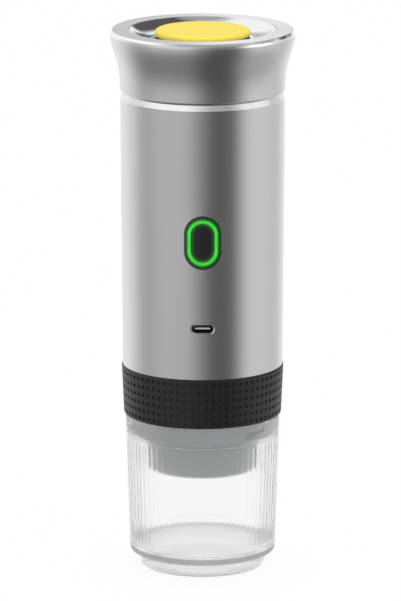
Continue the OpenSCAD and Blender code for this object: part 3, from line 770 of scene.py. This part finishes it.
@dataclass(frozen=True)
class Striped(Moulded):
    """A moulded, wound or printed piece with level stripes of a second colour."""

    second: Colour = (0.5, 0.5, 0.5)
    pitch: float = 2.0
    share: float = 0.3
    soft: float = 0.06
    metallic: float = 0.0
    stripe_relief: Relief = (0.4, 0.05)

    def dress(self, sheet: Sheet) -> dict[str, Any]:
        """Adds the stripes to the moulded piece.

        Args:
            sheet: the material's sheet.

        Returns:
            Socket names with their values or links.
        """
        sockets = super().dress(sheet)
        _, _, z = sheet.split(sheet.place())
        wave = abs((z / self.pitch).fraction() - 0.5) * 2.0
        stripe = wave.rise(self.share + self.soft, self.share - self.soft)
        sockets["Base Color"] = sheet.mix(stripe, sockets["Base Color"], self.second)
        if self.metallic:
            sockets["Metallic"] = stripe * self.metallic
        sockets["Normal"] = sheet.bump(stripe, *self.stripe_relief)
        return sockets


SLEEVE_METAL = SleeveMetal()
LID_METAL = LidMetal()
POLISHED = PolishedMetal()
DISH = DishMetal()
CLEAR = ClearPlastic()
GREEN_RING = LitRing()
GREY = Moulded("grey_moulded_plastic", (0.36, 0.37, 0.38), 0.45)
BASE_GREY = Moulded("brew_base_satin_plastic", (0.345, 0.35, 0.354), sheen=1.0)
BLACK = Moulded("black_moulded_plastic", (0.03, 0.03, 0.032))
RUBBER = Moulded(
    "dimpled_grip_rubber", (0.011, 0.011, 0.012), 0.42, grain_per_mm=6.0, shade=0.15)
YELLOW = Moulded(
    "yellow_soft_plug", (0.955, 0.765, 0.095), 0.55, grain_per_mm=3.0, shade=0.03)
SILICONE = Moulded(
    "pale_silicone", (0.72, 0.72, 0.70), 0.4, grain_per_mm=2.0, grain_depth=0.01, shade=0.04)
MAGNET = Moulded(
    "sintered_magnet", (0.09, 0.09, 0.095), 0.6, grain_per_mm=5.0, grain_depth=0.03, shade=0.15)
CELL_WRAP = Moulded(
    "battery_wrap", (0.05, 0.16, 0.42), 0.3,
    grain_per_mm=1.0, grain_depth=0.01, shade=0.06, coat=0.4)
LED_WHITE = Moulded(
    "led_lens", (0.85, 0.87, 0.80), 0.2,
    grain_per_mm=3.0, grain_depth=0.005, shade=0.04, coat=0.5)
BEZEL_BLACK = PaintedGlowBlack(
    "bezel_gloss_black", (0.012, 0.012, 0.013), 0.28,
    grain_per_mm=5.0, grain_depth=0.004, shade=0.1, coat=0.2)
CAP_BLACK = PaintedGlowBlack(
    "cap_gloss_black", (0.012, 0.012, 0.014), 0.25,
    grain_per_mm=5.0, grain_depth=0.004, shade=0.1, coat=0.2)
SOCKET = SocketDark(
    "charging_socket", (0.008, 0.008, 0.009), 0.45,
    grain_per_mm=6.0, grain_depth=0.01, shade=0.1)
COPPER = Striped(
    "copper_windings", (0.55, 0.25, 0.12), 0.35, grain_per_mm=3.0, shade=0.1, coat=0.3,
    second=(0.30, 0.12, 0.05), pitch=0.5, share=0.35)
BOARD = Striped(
    "circuit_board", (0.015, 0.11, 0.05), 0.3, grain_depth=0.01, shade=0.12, coat=0.3,
    second=(0.03, 0.19, 0.08), pitch=1.9, share=0.25)
HEATER = Striped(
    "heater_film", (0.42, 0.20, 0.05), 0.3, grain_per_mm=2.0, grain_depth=0.01, coat=0.3,
    second=(0.62, 0.36, 0.16), pitch=2.4, share=0.5, metallic=0.8)
STEEL = PlainMetal("drawn_steel", (0.72, 0.72, 0.73))
BRASS = PlainMetal("machined_brass", (0.80, 0.62, 0.30), 0.20)


# Mesh building


@dataclass(frozen=True)
class Corner:
    """A corner of a turned profile, in millimetres, with the radius that rounds it."""

    r: float
    z: float
    round: float = 0.0


class Mesh:
    """A mesh in the making, in millimetres until it is finished."""

    def __init__(self) -> None:
        """Starts empty."""
        self.bm = bmesh.new()

    def round_off(
        self,
        vert: bmesh.types.BMVert,
        radius: float,
        segments: int,
        guard: float = 0.06,
    ) -> None:
        """Rounds one corner of a flat profile.

        Each straight side beside it gets a point of its own, which keeps the side flat in
        smooth shading.

        Args:
            vert: the corner.
            radius: the radius that rounds it.
            segments: edges in the rounding.
            guard: how far beside the rounding a side gets its point.
        """
        sides = [edge.other_vert(vert).co - vert.co for edge in vert.link_edges]
        reach = radius / math.tan(sides[0].angle(sides[1]) / 2)
        arc = bmesh.ops.bevel(
            self.bm, geom=[vert], offset=reach, offset_type="OFFSET", affect="VERTICES",
            segments=segments, profile=0.5, material=-1, clamp_overlap=False,
        )["verts"]
        for point in arc:
            for edge in list(point.link_edges):
                length = edge.calc_length()
                if edge.other_vert(point) not in arc and length > 3 * guard:
                    bmesh.utils.edge_split(edge, point, guard / length)

    def profile(self, corners: Sequence[Corner], segments: int) -> bmesh.types.BMFace:
        """Lays out a closed profile and rounds its corners.

        Args:
            corners: the profile's corners in order, of which one at least isn't rounded.
            segments: edges in each rounded corner.

        Returns:
            The profile's face, in the plane of X and Z.
        """
        verts = [self.bm.verts.new((corner.r, 0.0, corner.z)) for corner in corners]
        edges = [self.bm.edges.new(pair) for pair in zip(verts, verts[1:] + verts[:1])]
        bmesh.ops.contextual_create(self.bm, geom=edges)
        for corner, vert in zip(corners, verts):
            if corner.round:
                self.round_off(vert, corner.round, segments)
        return next(vert for vert in verts if vert.is_valid).link_faces[0]

    def turn(
        self,
        corners: Sequence[Corner],
        steps: int,
        segments: int = 5,
        start: float = 0.0,
        sweep: float = 360.0,
    ) -> None:
        """Turns a closed profile about the vertical axis.

        Args:
            corners: the profile's corners in order.
            steps: copies round the sweep.
            segments: edges in each rounded corner.
            start: the angle where it starts, in degrees.
            sweep: the angle that it turns through.
        """
        face = self.profile(corners, segments)
        verts, edges = list(face.verts), list(face.edges)
        to_start = Matrix.Rotation(math.radians(start), 3, "Z")
        bmesh.ops.rotate(self.bm, verts=verts, matrix=to_start)
        full = sweep >= 360.0
        geom = [*verts, *edges, face]
        if full:
            axis = [e for e in edges if all(vert.co.xy.length < ON_AXIS for vert in e.verts)]
            geom = [*verts, *(edge for edge in edges if edge not in axis)]
            bmesh.ops.delete(self.bm, geom=[face], context="FACES_ONLY")
            bmesh.ops.delete(self.bm, geom=axis, context="EDGES_FACES")
        bmesh.ops.spin(
            self.bm, geom=geom, cent=(0, 0, 0), axis=(0, 0, 1), angle=math.radians(sweep),
            steps=steps, use_merge=full,
        )

    def rod(
        self, x: float, y: float, radius: float, z0: float, z1: float, segments: int = 32
    ) -> None:
        """Adds an upright rod.

        Args:
            x: place of its axis.
            y: place of its axis.
            radius: its radius.
            z0: lower end.
            z1: upper end.
            segments: sides.
        """
        made = bmesh.ops.create_cone(
            self.bm, cap_ends=True, segments=segments, radius1=radius, radius2=radius,
            depth=z1 - z0)
        bmesh.ops.translate(self.bm, verts=made["verts"], vec=(x, y, (z0 + z1) / 2))

    def finish(self, name: str, finish: Finish, sharp: float = 32.0) -> bpy.types.Object:
        """Makes the object.

        Args:
            name: the piece's name.
            finish: its finish.
            sharp: edges that bend more than this, in degrees, stay sharp.

        Returns:
            The object, at the origin.
        """
        bm = self.bm
        bmesh.ops.remove_doubles(bm, verts=bm.verts, dist=WELD)
        bmesh.ops.recalc_face_normals(bm, faces=bm.faces)
        bmesh.ops.scale(bm, vec=(MM, MM, MM), verts=bm.verts)
        for face in bm.faces:
            face.smooth = True
        for edge in bm.edges:
            if len(edge.link_faces) == 2 and edge.calc_face_angle(0.0) > math.radians(sharp):
                edge.smooth = False
        mesh = bpy.data.meshes.new(name)
        bm.to_mesh(mesh)
        bm.free()
        mesh.materials.append(finish.material())
        obj = bpy.data.objects.new(name, mesh)
        bpy.context.scene.collection.objects.link(obj)
        return obj


# Sub-assemblies: all sizes are in millimetres

Coats = tuple[tuple[Finish, tuple[str, ...]], ...]


@dataclass
class Assembly:
    """A sub-assembly: pieces of its own, and finishes for the CAD nodes it keeps."""

    coats: Coats = ()

    def build(self) -> None:
        """Builds the pieces of its own, where it has any."""

    def fit(self, obj: bpy.types.Object, body: str, slot: str, node: str) -> None:
        """Sets a new piece in the frame.

        Args:
            obj: the piece.
            body: the body that it rides on.
            slot: the record's material slot; not used.
            node: the CAD node that it stands for.
        """
        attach(obj, body)
        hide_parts(node)
        LOG.info("%s: %d faces on %s", obj.name, len(obj.data.polygons), body)

    def dress(self) -> None:
        """Gives its CAD nodes their finishes."""
        for finish, nodes in self.coats:
            for node in nodes:
                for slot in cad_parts[node].material_slots:
                    slot.material = finish.material()
                LOG.info("%s: %s", node, finish.name)


@dataclass
class Cup(Assembly):
    """Clear cup and the seal at its rim."""

    coats: Coats = (
        (CLEAR, ("cup",)),
        (SILICONE, ("cup_gasket",)),
    )


@dataclass
class BrewBase(Assembly):
    """Grey brew base with its grip ring, coffee basket and nozzle."""

    coats: Coats = (
        (BASE_GREY, ("base_body",)),
        (RUBBER, ("grip_ring",)),
        (STEEL, ("filter_basket", "outlet_nozzle")),
    )


@dataclass
class Button(Assembly):
    """Push button with its bezel and lit ring."""

    coats: Coats = (
        (BEZEL_BLACK, ("button_bezel",)),
        (GREEN_RING, ("light_ring",)),
        (CAP_BLACK, ("button_cap",)),
    )


@dataclass
class Sleeve(Assembly):
    """Satin sleeve with the bright ring at its top and what is built into it."""

    coats: Coats = (
        (SLEEVE_METAL, ("body_shell",)),
        (GREY, ("tank_collar", "brew_head", "motor_end")),
        (STEEL, ("tank", "thermostat", "shower_screen", "screen_screw", "chassis_screws")),
        (STEEL, ("pump_screws", "motor_can", "cell_links", "board_screws")),
        (SOCKET, ("usb_socket",)),
        (SILICONE, ("tank_gasket", "inlet_hose", "outlet_hose", "brew_gasket")),
        (HEATER, ("heater_band",)),
        (BLACK, ("chassis", "pump_cover", "pump_housing", "tact_switch")),
        (BRASS, ("drive_gear", "idler_gear")),
        (MAGNET, ("motor_magnets",)),
        (COPPER, ("motor_rotor",)),
        (CELL_WRAP, ("battery_cells",)),
        (BOARD, ("control_board",)),
        (LED_WHITE, ("leds",)),
    )
    ring_in: float = 33.3
    ring_low_r: float = 36.0
    ring_high_r: float = 34.8
    ring_low: float = 209.9
    ring_step: float = 0.2
    ring_high: float = 212.8
    steps: int = 256

    def build(self) -> None:
        """Builds the bright ring between the sleeve and the lid."""
        corners = [
            Corner(self.ring_in, self.ring_low),
            Corner(self.ring_low_r, self.ring_low, 0.06),
            Corner(self.ring_low_r, self.ring_low + self.ring_step, 0.08),
            Corner(self.ring_high_r, self.ring_high, 0.25),
            Corner(self.ring_in, self.ring_high),
        ]
        mesh = Mesh()
        mesh.turn(corners, self.steps)
        ring = mesh.finish("bright_trim_ring", POLISHED)
        self.fit(ring, "main", "polished_metal", "trim_ring")


@dataclass
class Lid(Assembly):
    """Flared metal lid with its polished dish and what is screwed under it."""

    coats: Coats = (
        (GREY, ("lid_liner",)),
        (STEEL, ("lid_screws",)),
        (SILICONE, ("vent_valve", "lid_gasket")),
    )
    bottom_z: float = 213.0
    top_z: float = 240.0
    low_r: float = 36.1
    rim_r: float = 40.385
    foot_h: float = 0.6
    foot_in: float = 0.4
    flare_lag: float = 1.45
    flare_steps: int = 48
    edge_h: float = 2.2
    edge_in: Span = (0.2, 0.9)
    inner_r: float = 34.4
    inner_h: float = 9.0
    roof_in: float = 3.4
    roof_drop: float = 2.0
    shelf_z: float = 235.5
    dish_r: float = 32.1
    dish_gap: float = 0.1
    dish_seat_w: float = 1.1
    dish_seat_h: float = 2.0
    dish_floor_r: float = 21.6
    dish_flat_r: float = 19.6
    dish_drop: float = 4.3
    dish_curve: float = 1.8
    dish_steps: int = 32
    dish_t: float = 1.2
    under_stride: int = 4
    hub_r: float = 7.5
    hub_t: float = 2.0
    hub_h: float = 7.5
    boss_angles: tuple[float, ...] = (30.0, 150.0, 270.0)
    boss_ring: float = 31.6
    boss_r: float = 3.2
    boss_low: float = 216.1
    boss_high: float = 226.1
    steps: int = 256

    def flare(self) -> list[Corner]:
        """Outline of the flare, from its foot to just below the chamfer.

        Returns:
            Its points in order.
        """
        low, high = self.bottom_z + self.foot_h, self.top_z - self.edge_h
        points = []
        for step in range(self.flare_steps):
            share = step / self.flare_steps
            t = share ** self.flare_lag
            r = self.low_r + (self.rim_r - self.low_r) * (3 * t * t - 2 * t ** 3)
            points.append(Corner(r, low + (high - low) * share))
        return points

    def shell(self) -> None:
        """Builds the flared shell."""
        edge_z = self.top_z - self.edge_h
        lip_r = self.dish_r + self.dish_gap
        seat_r, seat_z = self.dish_r - self.dish_seat_w, self.top_z - self.dish_seat_h
        roof_r = self.rim_r - self.roof_in
        corners = [
            Corner(self.inner_r, self.bottom_z, 0.1),
            Corner(self.low_r - self.foot_in, self.bottom_z, 0.2),
            *self.flare(),
            Corner(self.rim_r, edge_z, 0.25),
            Corner(self.rim_r - self.edge_in[0], edge_z + self.edge_h / 2, 0.25),
            Corner(self.rim_r - self.edge_in[1], self.top_z, 0.5),
            Corner(lip_r, self.top_z, 0.08),
            Corner(lip_r, seat_z),
            Corner(seat_r, seat_z),
            Corner(seat_r, self.shelf_z),
            Corner(roof_r, self.shelf_z, 0.4),
            Corner(roof_r, self.shelf_z - self.roof_drop, 0.4),
            Corner(self.inner_r, self.bottom_z + self.inner_h, 0.8),
        ]
        mesh = Mesh()
        mesh.turn(corners, self.steps)
        for angle in self.boss_angles:
            a = math.radians(angle)
            x, y = self.boss_ring * math.cos(a), self.boss_ring * math.sin(a)
            mesh.rod(x, y, self.boss_r, self.boss_low, self.boss_high)
        self.fit(mesh.finish("lid_flared_shell", LID_METAL), "lid", "satin_metal", "lid_shell")

    def dish_z(self, r: float) -> float:
        """Height of the dish's upper face at a radius from its floor outwards."""
        t = (r - self.dish_floor_r) / (self.dish_r - self.dish_floor_r)
        return self.top_z - self.dish_drop + self.dish_drop * t ** self.dish_curve

    def dish(self) -> None:
        """Builds the polished dish with its hub."""
        floor_z, seat_z = self.top_z - self.dish_drop, self.top_z - self.dish_seat_h
        seat_r, hub_out = self.dish_r - self.dish_seat_w, self.hub_r + self.hub_t
        run = seat_r - self.dish_floor_r
        radii = [self.dish_floor_r + run * k / self.dish_steps for k in range(self.dish_steps + 1)]
        bowl = [Corner(r, self.dish_z(r)) for r in radii]
        inward = reversed(radii[:-1:self.under_stride])
        under = [Corner(r, self.dish_z(r) - self.dish_t) for r in inward]
        corners = [
            Corner(self.hub_r, floor_z, 0.3),
            Corner(self.dish_flat_r, floor_z),
            *bowl,
            Corner(self.dish_r, self.top_z, 0.12),
            Corner(self.dish_r, seat_z),
            Corner(seat_r, seat_z),
            *under,
            Corner(hub_out, floor_z - self.dish_t, 0.4),
            Corner(hub_out, floor_z - self.hub_h, 0.3),
            Corner(self.hub_r, floor_z - self.hub_h, 0.3),
        ]
        mesh = Mesh()
        mesh.turn(corners, self.steps)
        self.fit(mesh.finish("lid_polished_dish", DISH), "lid", "polished_metal", "lid_dish")

    def build(self) -> None:
        """Builds the shell and the dish."""
        self.shell()
        self.dish()


@dataclass
class VentPlug(Assembly):
    """Soft yellow plug in the lid's dish, with a finger gap left and right under its pad."""

    pad_r: float = 20.9
    pad_low: float = 237.0
    pad_high: float = 240.0
    skirt_in: float = 18.5
    skirt_out: float = 20.6
    skirt_low: float = 235.9
    skirt_lap: float = 0.3
    skirt_half: float = 32.0
    skirt_middles: tuple[float, ...] = (270.0, 90.0)
    skirt_steps: int = 48
    stem_r: float = 7.2
    stem_in: float = 4.5
    stem_low: float = 228.7
    steps: int = 192

    def build(self) -> None:
        """Builds the pad with its hollow stem, and the skirts at its front and back."""
        pad = [
            Corner(0.0, self.pad_high),
            Corner(self.stem_in, self.pad_high),
            Corner(self.pad_r, self.pad_high, 1.7),
            Corner(self.pad_r, self.pad_low, 1.1),
            Corner(self.stem_r, self.pad_low, 0.3),
            Corner(self.stem_r, self.stem_low, 0.6),
            Corner(self.stem_in, self.stem_low, 0.3),
            Corner(self.stem_in, self.pad_low, 0.4),
            Corner(0.0, self.pad_low),
        ]
        skirt = [
            Corner(self.skirt_in, self.skirt_low, 0.4),
            Corner(self.skirt_out, self.skirt_low, 0.4),
            Corner(self.skirt_out, self.pad_low + self.skirt_lap),
            Corner(self.skirt_in, self.pad_low + self.skirt_lap),
        ]
        mesh = Mesh()
        mesh.turn(pad, self.steps, segments=7)
        for middle in self.skirt_middles:
            start, sweep = middle - self.skirt_half, 2 * self.skirt_half
            mesh.turn(skirt, self.skirt_steps, 3, start, sweep)
        self.fit(mesh.finish("soft_vent_plug", YELLOW), "plug", "yellow_silicone", "vent_plug")


# Studio


@dataclass(frozen=True)
class Card:
    """A soft card in the surround, which metal shows as a band.

    A depth above 0 makes a dark band, one below 0 a bright band. Angles are in degrees, and the
    foot and the head are where it fades out, as sines of the elevation.
    """

    azimuth: float
    half_width: float
    soft_left: float
    soft_right: float
    depth: float
    foot: Span = (-3.0, -2.0)
    head: Span = (3.0, 2.0)

    def shade(self, azimuth: Term, z: Term) -> Term:
        """What the card leaves of the light behind it.

        Args:
            azimuth: direction round the object in degrees, 0 at the front.
            z: sine of the direction's elevation.

        Returns:
            The factor.
        """
        off = azimuth - self.azimuth
        left = off.rise(-self.half_width - self.soft_left, -self.half_width)
        right = off.rise(self.half_width + self.soft_right, self.half_width)
        return 1.0 - self.depth * left * right * z.rise(*self.foot) * z.rise(*self.head)


@dataclass(frozen=True)
class Softbox:
    """A soft square lamp, in metres and watts."""

    name: str
    place: Triple
    size: float
    power: float
    aim: Triple = (0.0, 0.0, 0.12)

    def build(self) -> None:
        """Adds the lamp, which metal and glass don't show."""
        light = bpy.data.lights.new(self.name, "AREA")
        light.size = self.size
        light.energy = self.power
        obj = bpy.data.objects.new(self.name, light)
        obj.location = self.place
        to_aim = Vector(self.aim) - Vector(self.place)
        obj.rotation_euler = to_aim.to_track_quat("-Z", "Y").to_euler()
        obj.visible_glossy = False
        obj.visible_transmission = False
        bpy.context.scene.collection.objects.link(obj)


@dataclass
class Surround:
    """World light: white to the camera and through glass, banded in metal, plain elsewhere."""

    level: float = 0.55
    wall: float = 0.60
    back: float = 1.0
    back_azimuth: Span = (115.0, 175.0)
    above: float = 1.0
    above_z: Span = (0.2, 0.5)
    zenith: float = 0.4
    zenith_z: Span = (0.86, 0.97)
    cards: tuple[Card, ...] = (
        # Bands of the sleeve and the flare
        Card(28.5, 7.5, 52.0, 40.0, 0.82, head=(1.0, 0.35)),
        Card(-88.0, 6.0, 30.0, 24.0, 0.18, head=(0.5, 0.2)),
        Card(82.0, 20.0, 40.0, 30.0, -0.2, head=(0.5, 0.2)),
        Card(-124.0, 8.0, 26.0, 26.0, -0.3, head=(0.5, 0.2)),
        Card(-46.0, 44.0, 70.0, 42.0, 0.72, head=(-0.25, -0.6)),
        Card(72.0, 24.0, 36.0, 60.0, 0.5, head=(-0.25, -0.6)),
        # Dark and bright parts of the dish
        Card(147.0, 15.0, 18.0, 12.0, 0.9, foot=(0.22, 0.36), head=(0.98, 0.9)),
        Card(174.0, 3.0, 4.0, 2.0, 0.85, foot=(0.1, 0.15), head=(0.35, 0.25)),
        Card(-180.0, 8.0, 6.0, 8.0, 0.45, foot=(0.1, 0.18), head=(0.5, 0.3)),
        # Dark line and bright line of the lid's chamfer
        Card(100.0, 14.0, 18.0, 10.0, 0.6, foot=(0.43, 0.5), head=(0.75, 0.62)),
        Card(130.0, 10.0, 10.0, 12.0, 0.6, foot=(0.24, 0.3), head=(0.5, 0.36)),
        Card(146.0, 5.0, 6.0, 6.0, 0.6, foot=(0.11, 0.16), head=(0.3, 0.24)),
        Card(15.0, 45.0, 65.0, 50.0, 0.58, foot=(0.61, 0.7), head=(1.2, 1.1)),
        Card(50.0, 25.0, 30.0, 30.0, -0.9, foot=(0.02, 0.06), head=(0.22, 0.16)),
    )

    def build(self) -> None:
        """Makes the world."""
        scene = bpy.context.scene
        scene.world = bpy.data.worlds.new("studio_surround")
        scene.world.use_nodes = True
        sheet = Sheet(scene.world.node_tree)
        x, y, z = sheet.split(sheet.node("ShaderNodeTexCoord").outputs["Generated"])
        azimuth = x.angle_to(-1.0 * y) * (180.0 / math.pi)
        walls = abs(azimuth).rise(*self.back_azimuth).blend(self.wall, self.back)
        ceiling = z.rise(*self.zenith_z).blend(self.above, self.zenith)
        banded = z.rise(*self.above_z).blend(walls, ceiling)
        for card in self.cards:
            banded = banded * card.shade(azimuth, z)
        white = sheet.seen_by(Ray.CAMERA, Ray.TRANSMISSION)
        glossy = sheet.seen_by(Ray.GLOSSY) * (1.0 - white)
        strength = white + glossy * banded + (1.0 - white - glossy) * self.level
        sockets = {"Color": WHITE, "Strength": strength}
        light = sheet.node("ShaderNodeBackground", None, sockets)
        sheet.node("ShaderNodeOutputWorld", None, {"Surface": light.outputs[0]})


@dataclass
class Floor:
    """Pale floor that keeps the object's shadow, in millimetres.

    The camera and glass see part of it as plain white: less of that near the object, where the
    shadow falls.
    """

    half: float = 8000.0
    drop: float = 0.2
    colour: Colour = (0.85, 0.85, 0.85)
    shadow_ahead: float = 15.0
    shadow_r: Span = (12.0, 60.0)
    direct: Span = (0.90, 0.995)
    through: Span = (0.93, 0.99)

    def paint(self) -> bpy.types.Material:
        """Makes the floor's material.

        Returns:
            The material.
        """
        paint = bpy.data.materials.new("pale_floor")
        paint.use_nodes = True
        sheet = Sheet(paint.node_tree)
        matte = sheet.node("ShaderNodeBsdfDiffuse", None, {"Color": (*self.colour, 1.0)})
        white = sheet.node("ShaderNodeEmission", None, {"Color": WHITE, "Strength": 1.0})
        x, y, _ = sheet.split(sheet.place())
        away = x.hypot(y + self.shadow_ahead).rise(*self.shadow_r)
        direct = sheet.seen_by(Ray.CAMERA) * away.blend(*self.direct)
        through = sheet.seen_by(Ray.TRANSMISSION) * away.blend(*self.through)
        sockets = {0: direct + through, 1: matte.outputs[0], 2: white.outputs[0]}
        both = sheet.node("ShaderNodeMixShader", None, sockets)
        sheet.node("ShaderNodeOutputMaterial", None, {"Surface": both.outputs[0]})
        return paint

    def build(self) -> None:
        """Makes the floor, just below the object's foot."""
        bm = bmesh.new()
        bmesh.ops.create_grid(bm, x_segments=2, y_segments=2, size=self.half * MM)
        bmesh.ops.translate(bm, verts=bm.verts, vec=(0.0, 0.0, -self.drop * MM))
        mesh = bpy.data.meshes.new("studio_floor")
        bm.to_mesh(mesh)
        bm.free()
        mesh.materials.append(self.paint())
        obj = bpy.data.objects.new("studio_floor", mesh)
        bpy.context.scene.collection.objects.link(obj)
        obj.visible_glossy = False


@dataclass
class Viewpoint:
    """Camera at the photograph's viewing angle, in millimetres and degrees."""

    lens: float = 335.4
    sensor: float = 36.0
    distance: float = 2464.0
    elevation: float = 12.8
    aim: Triple = (-0.92, 0.0, 118.7)
    sight: float = 50000.0

    def build(self) -> None:
        """Makes the scene's camera."""
        camera = bpy.data.cameras.new("viewpoint")
        camera.lens = self.lens
        camera.sensor_width = self.sensor
        camera.clip_end = self.sight * MM
        obj = bpy.data.objects.new("viewpoint", camera)
        e = math.radians(self.elevation)
        back = Vector((0.0, -math.cos(e), math.sin(e)))
        obj.location = (Vector(self.aim) + back * self.distance) * MM
        obj.rotation_euler = (-back).to_track_quat("-Z", "Y").to_euler()
        bpy.context.scene.collection.objects.link(obj)
        bpy.context.scene.camera = obj


SOFTBOXES = (
    Softbox("overhead_softbox", place=(0.1, -0.3, 1.4), size=1.2, power=7.0),
    Softbox("left_softbox", place=(-1.3, -1.0, 0.7), size=1.0, power=8.0),
    Softbox("right_softbox", place=(1.3, -0.9, 0.7), size=1.0, power=8.0),
)


def main() -> None:
    """Builds the studio and every sub-assembly."""
    logging.basicConfig(level=logging.INFO, format="%(name)s: %(message)s")
    bpy.context.scene.view_settings.view_transform = "Standard"
    for stage in (Viewpoint(), Surround(), Floor(), *SOFTBOXES):
        stage.build()
    for assembly in (Cup(), BrewBase(), Sleeve(), Button(), Lid(), VentPlug()):
        assembly.build()
        assembly.dress()


if __name__ == "__main__":
    main()
